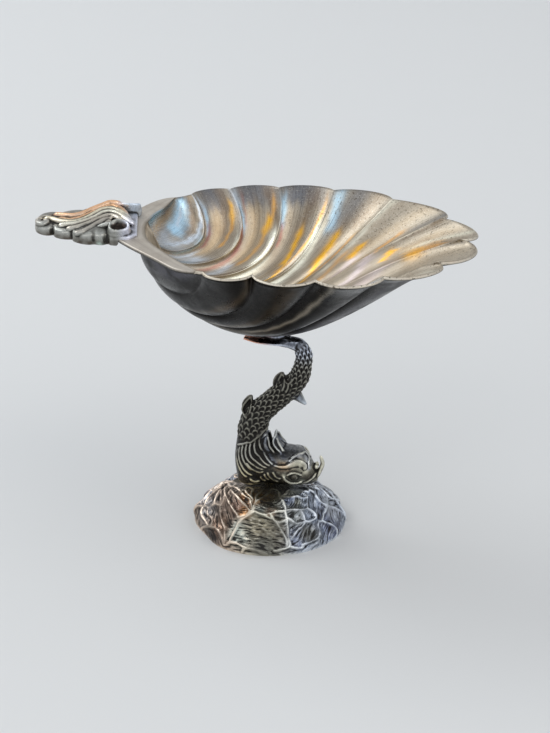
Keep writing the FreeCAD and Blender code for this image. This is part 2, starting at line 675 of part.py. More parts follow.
class RockFace:
    """One chiselled face: an oval of the rock's outside round a middle."""

    def __init__(self, size, profile, normals, row, turn, tilt):
        height = min(max(row[0] * size.foot_height, 0.0), size.foot_height)
        level = min(range(len(profile)), key=lambda number: abs(profile[number][1] - height))
        spin = FreeCAD.Rotation(Vector(0, 0, 1), turn)
        self.middle = spin.multVec(Vector(profile[level][0], 0, height))
        self.out = spin.multVec(normals[level])
        beside = spin.multVec(Vector(0, 1, 0))
        lean = FreeCAD.Rotation(self.out, tilt)
        self.along = lean.multVec(beside)
        self.across = self.out.cross(self.along)
        self.half_length = row[1] * size.foot_height
        self.half_width = row[2] * size.foot_height
        self.girth = (self.half_length + self.half_width) / 2

    def distance(self, point):
        """Distance of a point from the middle, 1 at the oval's edge."""
        gap = point - self.middle
        return math.sqrt((gap.dot(self.along) / self.half_length) ** 2
                         + (gap.dot(self.across) / self.half_width) ** 2
                         + (gap.dot(self.out) / self.girth) ** 2)


def rock_faces(size, profile, normals):
    """All chiselled faces, those in front and those behind."""
    rows = [(row, *degrees) for row, degrees in zip(ROCK_FACE_SHARES, ROCK_FACE_DEGREES)]
    start, sweep, lean = BACK_DEGREES
    for number in range(BACK_FACES):
        rows.append((((number + 0.5) / BACK_FACES, *BACK_FACE_SHARES),
                     start + sweep * (GOLDEN_SHARE * number % 1.0), lean * number))
    return [RockFace(size, profile, normals, *row) for row in rows]


def scoop(size, faces, point):
    """How far the rock's outside is scooped inward at a point."""
    near, far = sorted(faces, key=lambda face: face.distance(point))[:2]
    gap = (far.distance(point) - near.distance(point)) * (near.girth + far.girth) / 2
    share = min(gap / (2 * size.scoop_reach), 1.0)
    return size.scoop_depth * share * share * (3.0 - 2.0 * share)


def rock_solid(size):
    """Rock of scooped chiselled faces, before it is hollowed."""
    profile = rock_profile(size)
    normals = rock_normals(profile)
    faces = rock_faces(size, profile, normals)
    rings = []
    for (reach, height), normal in zip(profile, normals):
        points = []
        for number in range(ROCK_SIDES):
            spin = FreeCAD.Rotation(Vector(0, 0, 1), math.degrees(2 * math.pi * number / ROCK_SIDES))
            point = spin.multVec(Vector(reach, 0, height))
            point -= spin.multVec(normal) * scoop(size, faces, point)
            point.z = min(max(point.z, 0.0), size.foot_height)
            points.append(point)
        rings.append(points)
    for ring_points, height in ((rings[0], 0.0), (rings[-1], size.foot_height)):
        for point in ring_points:
            point.z = height
    return loft(rings)


def bound(doc, kind, name, **expressions):
    """Document object whose sizes follow the sheet."""
    item = doc.addObject(kind, name)
    for key, expression in expressions.items():
        item.setExpression(key, expression)
    return item


def fixed(doc, name, shape):
    """Document object that holds a computed shape."""
    item = doc.addObject("Part::Feature", name)
    item.Shape = shape
    return item


def cut(doc, name, base, tool):
    """Document object of one solid cut by another."""
    item = doc.addObject("Part::Cut", name)
    item.Base = base
    item.Tool = tool
    return item


def make_foot(doc, size):
    """Hollow rock with its stud hole."""
    blank = fixed(doc, "rock_blank", rock_solid(size))
    hollow = bound(doc, "Part::Cone", "rock_hollow", Radius1="dimensions.hollow_radius",
                   Radius2="dimensions.hollow_top_radius",
                   Height="dimensions.foot_height - dimensions.roof_thickness")
    bore = bound(doc, "Part::Cylinder", "stud_bore",
                 Radius="dimensions.stud_radius + dimensions.stud_clearance",
                 Height="2 * dimensions.foot_height")
    return cut(doc, "rock_base", cut(doc, "rock_shell", blank, hollow), bore)


def make_fastening(doc):
    """Stud, washer and nut that draw the dolphin down on the rock."""
    roof = "dimensions.foot_height - dimensions.roof_thickness"
    under_nut = roof + " - dimensions.washer_thickness - dimensions.nut_thickness"
    stud = bound(doc, "Part::Cylinder", "tie_stud", Radius="dimensions.stud_radius",
                 Height="dimensions.roof_thickness + dimensions.washer_thickness"
                        " + dimensions.nut_thickness + dimensions.stud_tail + dimensions.stud_bite"
                        " - dimensions.stud_clearance")
    stud.setExpression("Placement.Base.z", under_nut + " - dimensions.stud_tail")
    hole = "dimensions.stud_radius + dimensions.stud_clearance"
    blanks = {
        "washer": bound(doc, "Part::Cylinder", "washer_blank", Radius="dimensions.washer_radius",
                        Height="dimensions.washer_thickness"),
        "nut": bound(doc, "Part::Prism", "nut_blank",
                     Circumradius="dimensions.nut_flats_radius / cos(30)",
                     Height="dimensions.nut_thickness"),
    }
    blanks["washer"].setExpression("Placement.Base.z", roof + " - dimensions.washer_thickness")
    blanks["nut"].setExpression("Placement.Base.z", under_nut)
    pieces = [stud]
    for name, blank in blanks.items():
        bore = bound(doc, "Part::Cylinder", name + "_bore", Radius=hole,
                     Height="2 * dimensions.foot_height")
        pieces.append(cut(doc, name, blank, bore))
    return pieces


def centre_on_origin(pieces):
    """Slide every piece so that the whole box stands centred over the origin."""
    box = FreeCAD.BoundBox()
    for piece in pieces:
        box.add(piece.Shape.optimalBoundingBox())
    slide = Vector(-box.Center.x, -box.Center.y, -box.ZMin)
    for piece in pieces:
        if piece.Name == "tie_stud":
            piece.setExpression("Placement.Base.z", None)
        piece.Placement = FreeCAD.Placement(piece.Placement.Base + slide, piece.Placement.Rotation)
    return slide


def main():
    """Build, check and export every piece."""
    doc = FreeCAD.newDocument("shell_salt_cellar")
    size = Sizes(make_sheet(doc))
    form = ShellForm(size)
    dish = fixed(doc, "shell_bowl", form.solid())
    tail_height = dish.Shape.optimalBoundingBox().ZMin - size.solder_gap
    pieces = [dish,
              fixed(doc, "thumb_piece", thumb_solid(size)),
              fixed(doc, "dolphin_stem", dolphin_solid(size, tail_height)),
              make_foot(doc, size)] + make_fastening(doc)
    doc.recompute()
    slide = centre_on_origin(pieces)
    doc.recompute()
    for item in doc.Objects:
        if "Invalid" in item.State or "Error" in item.State:
            raise RuntimeError("%s did not build: %s" % (item.Name, item.State))
    os.makedirs("parts", exist_ok=True)
    for piece in pieces:
        piece.Label = piece.Name
        shape = piece.Shape
        if shape.isNull() or not shape.isValid() or shape.Volume <= 0:
            raise RuntimeError("%s has no valid solid" % piece.Name)
        shape.exportStep("parts/%s.step" % piece.Name)
        box = shape.BoundBox
        print("%-14s %2d solid  %9.1f mm3  x %6.1f %6.1f  y %6.1f %6.1f  z %6.1f %6.1f" % (
            piece.Name, len(shape.Solids), shape.Volume, box.XMin, box.XMax, box.YMin, box.YMax,
            box.ZMin, box.ZMax))
    print("slide", slide)


main()
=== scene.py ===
"""Looks of a shell salt cellar: a fluted dish with a leaf handle, on a dolphin that stands on a rock."""
import json
import logging
import math
from dataclasses import dataclass, field
from enum import Enum

import bpy
import numpy as np
from mathutils import Euler, Matrix, Vector, kdtree, noise

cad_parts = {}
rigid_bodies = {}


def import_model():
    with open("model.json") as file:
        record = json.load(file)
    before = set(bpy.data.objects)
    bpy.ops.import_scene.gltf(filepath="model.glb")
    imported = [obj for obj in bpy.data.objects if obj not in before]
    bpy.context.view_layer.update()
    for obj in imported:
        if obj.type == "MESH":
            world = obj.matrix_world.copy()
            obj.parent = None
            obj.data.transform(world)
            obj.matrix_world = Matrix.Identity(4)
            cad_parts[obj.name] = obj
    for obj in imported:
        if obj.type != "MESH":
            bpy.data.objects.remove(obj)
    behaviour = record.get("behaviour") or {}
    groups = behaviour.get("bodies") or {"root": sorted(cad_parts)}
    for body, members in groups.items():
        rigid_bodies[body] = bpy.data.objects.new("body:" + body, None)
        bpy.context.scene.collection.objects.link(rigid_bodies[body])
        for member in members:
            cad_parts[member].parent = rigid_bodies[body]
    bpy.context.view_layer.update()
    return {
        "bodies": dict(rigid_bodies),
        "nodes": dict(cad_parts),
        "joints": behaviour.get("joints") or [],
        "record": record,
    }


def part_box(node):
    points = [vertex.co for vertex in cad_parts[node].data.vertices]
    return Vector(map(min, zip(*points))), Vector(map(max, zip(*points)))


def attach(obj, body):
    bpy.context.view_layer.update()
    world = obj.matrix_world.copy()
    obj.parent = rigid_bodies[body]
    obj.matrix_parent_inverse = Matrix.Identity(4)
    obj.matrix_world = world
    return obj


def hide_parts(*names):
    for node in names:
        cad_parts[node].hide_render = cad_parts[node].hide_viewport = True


LOG = logging.getLogger("salt_cellar")
Colour = tuple[float, float, float]


class Side(Enum):
    """Skins of the dish, as its mesh stores them."""

    INSIDE = 0.0
    RIM = 0.5
    OUTSIDE = 1.0


def clamped_basis(count: int, samples: np.ndarray) -> np.ndarray:
    """Weights of the control points of a clamped cubic spline with even knots.

    Args:
        count: Number of control points.
        samples: Places along the spline, from 0 to 1.

    Returns:
        One row of weights per sample.
    """
    spans = count - 3
    knots = np.concatenate([np.zeros(3), np.linspace(0.0, 1.0, spans + 1), np.ones(3)])
    places = np.clip(samples, 0.0, 1.0 - 1e-9)[:, None]
    weights = ((knots[:-1] <= places) & (places < knots[1:])).astype(float)
    for degree in range(1, 4):
        left = knots[degree:-1] - knots[:-degree - 1]
        right = knots[degree + 1:] - knots[1:-degree]
        left_share = np.divide(places - knots[:-degree - 1], left, out=np.zeros_like(weights[:, :-1]),
                               where=left > 0)
        right_share = np.divide(knots[degree + 1:] - places, right,
                                out=np.zeros_like(weights[:, :-1]), where=right > 0)
        weights = left_share * weights[:, :-1] + right_share * weights[:, 1:]
    return weights


def through(rows: list[tuple[float, ...]], count: int) -> np.ndarray:
    """Rows of numbers on the smooth curves through the given ones.

    Args:
        rows: The rows to pass through.
        count: Number of rows wanted.

    Returns:
        The rows, evenly spaced in steps of the given ones.
    """
    table = np.array(rows, float)
    padded = np.vstack([2 * table[0] - table[1], table, 2 * table[-1] - table[-2]])
    places = np.linspace(0.0, len(table) - 1.0, count)
    first = np.minimum(places.astype(int), len(table) - 2)
    share = (places - first)[:, None]
    before, start, end, after = (padded[first + shift] for shift in range(4))
    slope_in, slope_out = (end - before) / 2, (after - start) / 2
    return (start * (2 * share ** 3 - 3 * share ** 2 + 1) + slope_in * (share ** 3 - 2 * share ** 2 + share)
            + end * (3 * share ** 2 - 2 * share ** 3) + slope_out * (share ** 3 - share ** 2))


def unit(vectors: np.ndarray) -> np.ndarray:
    """The vectors at length 1."""
    return vectors / np.maximum(np.linalg.norm(vectors, axis=-1, keepdims=True), 1e-12)


def circle(count: int) -> np.ndarray:
    """Angles of evenly spaced points round a circle."""
    return np.linspace(0.0, 2.0 * math.pi, count, endpoint=False)


def ramp(values: np.ndarray, low: float, high: float) -> np.ndarray:
    """Smooth step from 0 at low to 1 at high."""
    share = np.clip((values - low) / (high - low), 0.0, 1.0)
    return share * share * (3.0 - 2.0 * share)


@dataclass
class Skin:
    """A mesh while it is gathered: points, faces and what each point stores."""

    points: list[np.ndarray] = field(default_factory=list)
    faces: list[tuple[int, ...]] = field(default_factory=list)
    stored: dict[str, list[np.ndarray]] = field(default_factory=dict)
    count: int = 0

    def add_points(self, points: np.ndarray, **stored: np.ndarray) -> np.ndarray:
        """Adds points of any grid shape.

        Args:
            points: Places, with x, y and z in the last axis.
            stored: Values per point by attribute name, for all or none of the skin's points.

        Returns:
            The points' numbers, in the grid's shape.
        """
        shape = points.shape[:-1]
        total = int(np.prod(shape))
        self.points.append(points.reshape(-1, 3))
        for name, values in stored.items():
            spread = np.broadcast_to(values, shape + np.shape(values)[len(shape):])
            self.stored.setdefault(name, []).append(spread.reshape(total, -1))
        numbers = np.arange(self.count, self.count + total).reshape(shape)
        self.count += total
        return numbers

    def add_quads(self, numbers: np.ndarray, closed: bool = False, flip: bool = False) -> None:
        """Joins a grid of point numbers by four-sided faces.

        Args:
            numbers: The grid.
            closed: Whether the last column joins the first.
            flip: Whether the faces look the other way.
        """
        if closed:
            numbers = np.hstack([numbers, numbers[:, :1]])
        a, b = numbers[:-1, :-1], numbers[:-1, 1:]
        c, d = numbers[1:, 1:], numbers[1:, :-1]
        quads = np.stack([a, d, c, b] if flip else [a, b, c, d], axis=-1).reshape(-1, 4)
        self.faces += [tuple(quad) for quad in quads.tolist()]

    def add_cap(self, numbers: np.ndarray, flip: bool = False) -> None:
        """Closes a loop of point numbers by one face."""
        loop = numbers.tolist()
        self.faces.append(tuple(reversed(loop)) if flip else tuple(loop))

    def add_fan(self, centre: int, numbers: np.ndarray, flip: bool = False) -> None:
        """Joins an open line of point numbers to one point."""
        for first, second in zip(numbers[:-1].tolist(), numbers[1:].tolist()):
            self.faces.append((centre, second, first) if flip else (centre, first, second))

    def mesh(self, name: str) -> bpy.types.Mesh:
        """The gathered mesh, with its attributes."""
        mesh = bpy.data.meshes.new(name)
        mesh.from_pydata(np.vstack(self.points), [], self.faces)
        for key, values in self.stored.items():
            store(mesh, key, np.vstack(values))
        mesh.shade_smooth()
        return mesh


def store(mesh: bpy.types.Mesh, key: str, values: np.ndarray) -> None:
    """Writes one attribute per point: a number, or a colour for four values."""
    values = values.reshape(len(mesh.vertices), -1)
    kind, slot = ("FLOAT", "value") if values.shape[1] == 1 else ("FLOAT_COLOR", "color")
    mesh.attributes.new(key, kind, "POINT").data.foreach_set(slot, values.astype(np.float32).ravel())


def rough(places: np.ndarray) -> np.ndarray:
    """Soft noise at each place, about -1 to 1, at steps of 1."""
    return 2.0 * np.array([noise.noise(Vector(row)) for row in places.tolist()])


def close_to(places: np.ndarray, rows: tuple[tuple[float, ...], ...], reach: float) -> np.ndarray:
    """How close flat places are to a line: 1 on it, fading out over the reach.

    Args:
        places: Two numbers per place.
        rows: Corners of the line, two numbers or more each.
        reach: Distance at which the share is about a third.

    Returns:
        One share per place.
    """
    corners = np.array(rows, float)[:, :2]
    nearest = np.full(len(places), np.inf)
    for start, end in zip(corners, corners[1:]):
        step = end - start
        share = np.clip((places - start) @ step / (step @ step), 0.0, 1.0)
        nearest = np.minimum(nearest, np.linalg.norm(places - start - share[:, None] * step, axis=1))
    return np.exp(-(nearest / reach) ** 2)


def place(mesh: bpy.types.Mesh, name: str) -> bpy.types.Object:
    """An object of a mesh, in the scene."""
    piece = bpy.data.objects.new(name, mesh)
    bpy.context.scene.collection.objects.link(piece)
    return piece


def coordinates(mesh: bpy.types.Mesh) -> np.ndarray:
    """Places of the mesh's points."""
    values = np.empty(len(mesh.vertices) * 3, np.float32)
    mesh.vertices.foreach_get("co", values)
    return values.reshape(-1, 3).astype(float)


def set_coordinates(mesh: bpy.types.Mesh, points: np.ndarray) -> None:
    """Moves the mesh's points to their places."""
    mesh.vertices.foreach_set("co", points.astype(np.float32).ravel())
    mesh.update()


def neighbour_mean(edges: np.ndarray, values: np.ndarray) -> np.ndarray:
    """Mean of each point's neighbours."""
    total = np.zeros_like(values)
    number = np.zeros((len(values), 1))
    for first, second in ((0, 1), (1, 0)):
        np.add.at(total, edges[:, first], values[edges[:, second]])
        np.add.at(number, edges[:, first], 1.0)
    return total / np.maximum(number, 1.0)


def relief(mesh: bpy.types.Mesh, rounds: int) -> np.ndarray:
    """How far each point stands above the mesh smoothed round it, in metres.

    Args:
        mesh: An even mesh.
        rounds: Smoothing rounds, which set the size of what counts as relief.

    Returns:
        One height per point, positive on ridges.
    """
    edges = np.empty(len(mesh.edges) * 2, np.int32)
    mesh.edges.foreach_get("vertices", edges)
    edges = edges.reshape(-1, 2)
    normals = np.empty(len(mesh.vertices) * 3, np.float32)
    mesh.vertices.foreach_get("normal", normals)
    points = coordinates(mesh)
    smoothed = points.copy()
    for _ in range(rounds):
        smoothed = neighbour_mean(edges, smoothed)
    heights = ((points - smoothed) * normals.reshape(-1, 3)).sum(axis=1, keepdims=True)
    return neighbour_mean(edges, heights)


def cast(skin: Skin, name: str, voxel: float, polish: int, rounds: int) -> bpy.types.Mesh:
    """One casting from overlapping closed skins, with its relief stored.

    Args:
        skin: The overlapping closed skins.
        name: Name of the mesh.
        voxel: Size of the casting's facets.
        polish: Smoothing rounds after the skins are joined.
        rounds: Smoothing rounds of the relief.

    Returns:
        The casting's mesh.
    """
    skins = place(skin.mesh(name + "_rough"), name + "_rough")
    remesh = skins.modifiers.new("join", "REMESH")
    remesh.mode = "VOXEL"
    remesh.voxel_size = voxel
    if polish:
        smooth = skins.modifiers.new("polish", "SMOOTH")
        smooth.factor = 0.5
        smooth.iterations = polish
    graph = bpy.context.evaluated_depsgraph_get()
    mesh = bpy.data.meshes.new_from_object(skins.evaluated_get(graph))
    mesh.name = name
    skins_mesh = skins.data
    bpy.data.objects.remove(skins)
    bpy.data.meshes.remove(skins_mesh)
    mesh.shade_smooth()
    store(mesh, "relief", relief(mesh, rounds))
    return mesh


@dataclass
class ShellDish:
    """The pressed fluted dish with its flange and tang, in metres from the foot's axis."""

    rim_height: float = 0.0975
    half_length: float = 0.0505
    half_width: float = 0.0387
    centre: tuple[float, float] = (0.007, 0.001)
    depth: float = 0.0332
    deepest: float = 0.005
    umbo: tuple[float, float] = (-0.0376, 0.004)
    wall_start: float = 0.038
    sheet: float = 0.0009
    tang: float = 0.0135
    rows: int = 112
    columns: int = 30
    flange_steps: int = 10
    rim_roll: float = 0.00012
    bulge_share: float = 0.25
    spread_share: float = 0.2
    lobe_share: float = 0.36
    drop_share: float = 0.035
    cross_power: float = 1.75
    keel_power: float = 1.18
    end_power: float = 2.4
    ridge_slope: float = 0.8
    steepest: float = 0.7

    ROW_SHARES = (0.0, 0.05, 0.12, 0.22, 0.35, 0.5, 0.65, 0.8, 0.92, 1.0)
    # Cusp as shares of the half length and half width, handles at rim and umbo as shares of
    # the chord, lift as a share of the depth, then headings at rim and umbo in degrees.
    RIDGES = (
        (-0.695, 0.767, 0.53, 0.57, 0.03, -33, 59), (-0.473, 0.928, 0.46, 0.62, 0.03, -40, 43),
        (-0.172, 1.013, 0.36, 0.54, 0.03, -67, 31), (0.174, 1.000, 0.31, 0.56, 0.03, -104, 21),
        (0.547, 0.835, 0.27, 0.54, 0.04, -145, 12), (0.863, 0.429, 0.27, 0.56, 0.07, -192, 5.5),
        (0.986, -0.034, 0.31, 0.54, 0.08, -220, 0), (0.877, -0.548, 0.34, 0.50, 0.08, -236, -7),
        (0.590, -0.881, 0.24, 0.34, 0.02, -242, -26), (0.210, -1.000, 0.29, 0.36, 0.0, -245, -42),
        (-0.150, -0.953, 0.29, 0.40, 0.0, -265, -60), (-0.432, -0.948, 0.26, 0.45, 0.0, -274, -78),
    )
    TONGUES = {
        6: (0.206, -0.006, 0.107, 0.147),
        7: (0.147, -0.002, 0.222, 0.065),
        8: (0.162, -0.014, 0.251, 0.063),
        9: (0.113, -0.036, 0.182, -0.038),
    }
    FLANGE_BACK = ((-0.875, 0.13), (-0.865, 0.27), (-0.82, 0.40), (-0.805, 0.54), (-0.795, 0.62),
                   (-0.79, 0.67))
    FLANGE_FRONT = ((-0.88, -0.08), (-0.85, -0.27), (-0.79, -0.42), (-0.70, -0.58), (-0.61, -0.74),
                    (-0.475, -0.935))
    OUTLINE = ((-0.845, 0.66), (-0.93, 0.52), (-0.99, 0.30), (-1.06, 0.20), (-1.18, 0.10), (-1.18, -0.14),
               (-1.05, -0.27), (-0.93, -0.465), (-0.82, -0.61), (-0.70, -0.77), (-0.60, -0.93),
               (-0.53, -0.95))

    def rim_point(self, along: float, across: float) -> np.ndarray:
        """Point of the rim plane from shares of the half length and half width."""
        return np.array([self.centre[0] + along * self.half_length,
                         self.centre[1] + across * self.half_width, self.rim_height])

    def groove_depth(self, point: np.ndarray) -> float:
        """Depth of the grooves under a point of the rim plane."""
        x, y = point[:2]
        far = self.centre[0] + self.half_length
        if x <= self.deepest:
            back = min(1.0, (self.deepest - x) / (self.deepest + self.wall_start))
            keel = self.depth * math.sqrt(1.0 - back * back)
        else:
            ahead = min(1.0, (x - self.deepest) / (far - self.deepest))
            keel = self.depth * (1.0 - ahead ** self.keel_power)
        if x >= self.centre[0]:
            ahead = min(1.0, (x - self.centre[0]) / self.half_length)
            beam = math.sqrt(1.0 - ahead * ahead)
        else:
            back = min(1.0, (self.centre[0] - x) / (self.centre[0] + self.wall_start))
            beam = (1.0 - back ** self.end_power) ** (1.0 / self.end_power)
        side = min(1.0, abs(y - self.centre[1]) / (beam * self.half_width)) if beam > 0 else 1.0
        return keel * (1.0 - side ** self.cross_power)

    def ridge(self, row: tuple[float, ...]) -> np.ndarray:
        """Control points of one ridge, from the umbo to its cusp."""
        along, across, rim_share, umbo_share, lift, rim_heading, umbo_heading = row
        umbo = np.array([*self.umbo, self.rim_height])
        cusp = self.rim_point(along, across)
        chord = np.linalg.norm(cusp - umbo)
        ends = [(umbo, umbo_heading, umbo_share), (cusp, rim_heading, rim_share)]
        handles = [point + share * chord * np.array([math.cos(math.radians(turn)),
                                                     math.sin(math.radians(turn)), 0.0])
                   for point, turn, share in ends]
        share = np.array(self.ROW_SHARES)[:, None]
        line = (umbo * (1 - share) ** 3 + 3 * handles[0] * share * (1 - share) ** 2
                + 3 * handles[1] * share ** 2 * (1 - share) + cusp * share ** 3)
        for point, step in zip(line, self.ROW_SHARES):
            rise = lift * self.depth * math.sin(math.pi * step)
            point[2] -= max(0.0, self.groove_depth(point) - rise)
        line[0], line[-1] = umbo, cusp
        return line

    def flange_edge(self, shares: tuple[tuple[float, float], ...]) -> np.ndarray:
        """Control points of the flange's inner edge."""
        corners = np.array([[*self.umbo, self.rim_height]] + [self.rim_point(*pair) for pair in shares])
        reach = np.array(self.ROW_SHARES) * (len(corners) - 1)
        return np.stack([np.interp(reach, range(len(corners)), corners[:, axis]) for axis in range(3)],
                        axis=1)

    def net(self, lobe: int, left: np.ndarray, right: np.ndarray) -> np.ndarray:
        """Four control columns of one flute between its two ridges."""
        middle = np.array([self.deepest, self.centre[1], self.rim_height])
        chord = right - left
        outward = (left + right) / 2 - middle
        outward[:, 2] *= self.half_width / self.depth
        bulge = unit(outward) * (self.bulge_share * np.linalg.norm(chord, axis=1))[:, None]
        net = np.stack([left, left + chord * self.spread_share + bulge,
                        right - chord * self.spread_share + bulge, right], axis=1)
        net[0] = left[0]
        start, end = left[-1], right[-1]
        reach = end - start
        drop = np.array([0.0, 0.0, self.drop_share * np.linalg.norm(reach)])
        if lobe in self.TONGUES:
            first_x, first_y, second_x, second_y = np.array(self.TONGUES[lobe]) * self.half_length
            handles = (start + [first_x, first_y, 0.0], end + [second_x, second_y, 0.0])
        else:
            lobed = self.lobe_share if 1 < lobe <= len(self.RIDGES) else 0.0
            outward = np.array([-reach[1], reach[0], 0.0]) * lobed
            handles = (start + reach * self.spread_share + outward,
                       end - reach * self.spread_share + outward)
        net[-1, 1] = handles[0] - drop
        net[-1, 2] = handles[1] - drop
        return net

    def grids(self) -> tuple[np.ndarray, np.ndarray]:
        """Inner and outer points, rows from the umbo to the rim, columns from back to front."""
        edges = ([self.flange_edge(self.FLANGE_BACK)] + [self.ridge(row) for row in self.RIDGES]
                 + [self.flange_edge(self.FLANGE_FRONT)])
        row_weights = clamped_basis(len(self.ROW_SHARES), np.linspace(0.0, 1.0, self.rows) ** 0.9)
        column_weights = clamped_basis(4, np.linspace(0.0, 1.0, self.columns))
        flutes = []
        for number, (left, right) in enumerate(zip(edges, edges[1:]), start=1):
            net = self.net(number, left, right)
            flutes.append(np.einsum("rn,nmk,cm->rck", row_weights, net, column_weights))
        inner = np.concatenate([flutes[0]] + [flute[:, 1:] for flute in flutes[1:]], axis=1)
        return inner, self.offset(inner, flutes)

    def offset(self, inner: np.ndarray, flutes: list[np.ndarray]) -> np.ndarray:
        """Outside of the sheet, thickened between the directions of each flute's two ridges."""
        headings = []
        for flute in flutes:
            chord = flute[:, -1] - flute[:, 0]
            headings.append([unit(np.cross(np.gradient(flute[:, column], axis=0), chord))
                             for column in (0, -1)])
        for (_, right), (left, _) in zip(headings, headings[1:]):
            shared = unit(right + left)
            right[:] = shared
            left[:] = shared
        parts = []
        for number, (flute, (left, right)) in enumerate(zip(flutes, headings)):
            share = np.linspace(0.0, 1.0, self.columns)[None, :, None]
            direction = unit(left[:, None] * (1 - share) + right[:, None] * share)
            normal = unit(np.cross(np.gradient(flute, axis=0), np.gradient(flute, axis=1)))
            slope = np.clip((direction * normal).sum(axis=2), self.steepest, 1.0)
            edge = np.abs(share[0, :, 0] * 2 - 1) ** 4
            slope = slope * (1 - edge) + self.ridge_slope * edge
            parts.append(flute + direction * (self.sheet / slope)[:, :, None])
        outer = np.concatenate([parts[0]] + [part[:, 1:] for part in parts[1:]], axis=1)
        for column, sign in ((0, 1.0), (-1, -1.0)):
            ahead = np.gradient(inner[:, column], axis=0)
            side = unit(np.cross(ahead, [0.0, 0.0, sign]))
            outer[:, column] = inner[:, column] - side * self.sheet - [0.0, 0.0, self.sheet]
        outer[0] = inner[0, 0] + [-self.sheet, 0.0, -self.sheet]
        return outer

    def flute_places(self, shape: tuple[int, int]) -> tuple[np.ndarray, np.ndarray]:
        """Each grid point's flute and share across it, and its share along."""
        rows, columns = shape
        flute = np.broadcast_to(np.arange(columns) / (self.columns - 1.0), shape)
        along = np.broadcast_to((np.linspace(0.0, 1.0, rows) ** 0.9)[:, None], shape)
        return flute, along

    def build(self) -> bpy.types.Mesh:
        """The whole dish as one closed mesh."""
        inner, outer = self.grids()
        flute, along = self.flute_places(inner.shape[:2])
        skin = Skin()
        inside = skin.add_points(inner[1:], flute=flute[1:, :, None], along=along[1:, :, None],
                                 side=np.full(flute[1:].shape + (1,), Side.INSIDE.value))
        outside = skin.add_points(outer[1:], flute=flute[1:, :, None], along=along[1:, :, None],
                                  side=np.full(flute[1:].shape + (1,), Side.OUTSIDE.value))
        tips = skin.add_points(np.array([inner[0, 0], outer[0, 0]]), flute=np.zeros((2, 1)),
                               along=np.zeros((2, 1)), side=np.array([[0.0], [1.0]]))
        skin.add_quads(inside)
        skin.add_quads(outside, flip=True)
        skin.add_fan(tips[0], inside[0], flip=True)
        skin.add_fan(tips[1], outside[0])
        self.add_rim(skin, inner, outer, inside, outside, flute)
        self.add_flange(skin, inner, outer, inside, outside, tips)
        return skin.mesh("dish_sheet")

    def add_rim(self, skin: Skin, inner: np.ndarray, outer: np.ndarray, inside: np.ndarray,
                outside: np.ndarray, flute: np.ndarray) -> None:
        """Rounded edge of the sheet along the lobed rim."""
        bulge = unit(inner[-1] - inner[-2]) * self.rim_roll
        middles = np.array([inner[-1] * 0.75 + outer[-1] * 0.25 + bulge,
                            inner[-1] * 0.25 + outer[-1] * 0.75 + bulge])
        edge = skin.add_points(middles, flute=np.stack([flute[-1], flute[-1]])[:, :, None],
                               along=np.ones(middles.shape[:2] + (1,)),
                               side=np.full(middles.shape[:2] + (1,), Side.RIM.value))
        skin.add_quads(np.vstack([inside[-1:], edge, outside[-1:]]))

    def add_flange(self, skin: Skin, inner: np.ndarray, outer: np.ndarray, inside: np.ndarray,
                   outside: np.ndarray, tips: np.ndarray) -> None:
        """Flat flange and tang, from the inner edge to the outline, above and below."""
        outline = np.array([self.rim_point(*pair) for pair in self.OUTLINE])
        outline[:, 0] = np.maximum(outline[:, 0], self.umbo[0] - self.tang)
        ends = []
        for grid, numbers, tip, drop in ((inner, inside, tips[0], 0.0),
                                         (outer, outside, tips[1], self.sheet)):
            edge = np.vstack([grid[:0:-1, 0], grid[:1, 0], grid[1:, -1]])
            loop = np.concatenate([numbers[::-1, 0], [tip], numbers[:, -1]])
            control = np.vstack([edge[:1], outline - [0.0, 0.0, drop], edge[-1:]])
            reach = np.concatenate([[0.0], np.cumsum(np.linalg.norm(np.diff(edge, axis=0), axis=1))])
            rim = clamped_basis(len(control), reach / reach[-1]) @ control
            share = np.linspace(0.0, 1.0, self.flange_steps)[1:, None, None]
            sheet = edge[None] * (1 - share) + rim[None] * share
            shape = sheet.shape[:2] + (1,)
            stored = {"flute": np.full(shape, -1.0), "along": np.broadcast_to(share, shape),
                      "side": np.full(shape, Side.INSIDE.value if drop == 0 else Side.OUTSIDE.value)}
            added = skin.add_points(sheet[:, 1:-1],
                                    **{key: value[:, 1:-1] for key, value in stored.items()})
            closing = np.full((self.flange_steps - 1, 1), loop[0])
            opening = np.full((self.flange_steps - 1, 1), loop[-1])
            full = np.vstack([loop[None], np.hstack([closing, added, opening])])
            self.add_sheet(skin, full, flip=drop == 0)
            ends.append(full[-1])
        self.add_sheet(skin, np.array(ends), flip=True)

    @staticmethod
    def add_sheet(skin: Skin, numbers: np.ndarray, flip: bool) -> None:
        """Joins a grid whose first and last columns shrink to one point."""
        for low, high in zip(numbers, numbers[1:]):
            for a, b, c, d in zip(low.tolist(), low[1:].tolist(), high[1:].tolist(), high.tolist()):
                corners = [number for number in dict.fromkeys((a, d, c, b) if flip else (a, b, c, d))]
                if len(corners) > 2:
                    skin.faces.append(tuple(corners))


@dataclass(frozen=True)
class Streak:
    """Soft-bordered streak on the flutes: tarnish tones and painted reflections, highlights and shade."""

    flute: float
    along: float
    end_flute: float
    end_along: float
    width: float
    fade: float
    colour: Colour
    strength: float

    def cover(self, flute: np.ndarray, along: np.ndarray) -> np.ndarray:
        """Share of the streak at each point."""
        reach = self.end_along - self.along
        share = np.clip((along - self.along) / reach, 0.0, 1.0)
        middle = self.flute + (self.end_flute - self.flute) * share
        beyond = along - self.along - reach * share
        return self.strength * np.exp(-((flute - middle) / self.width) ** 2 - (beyond / self.fade) ** 2)
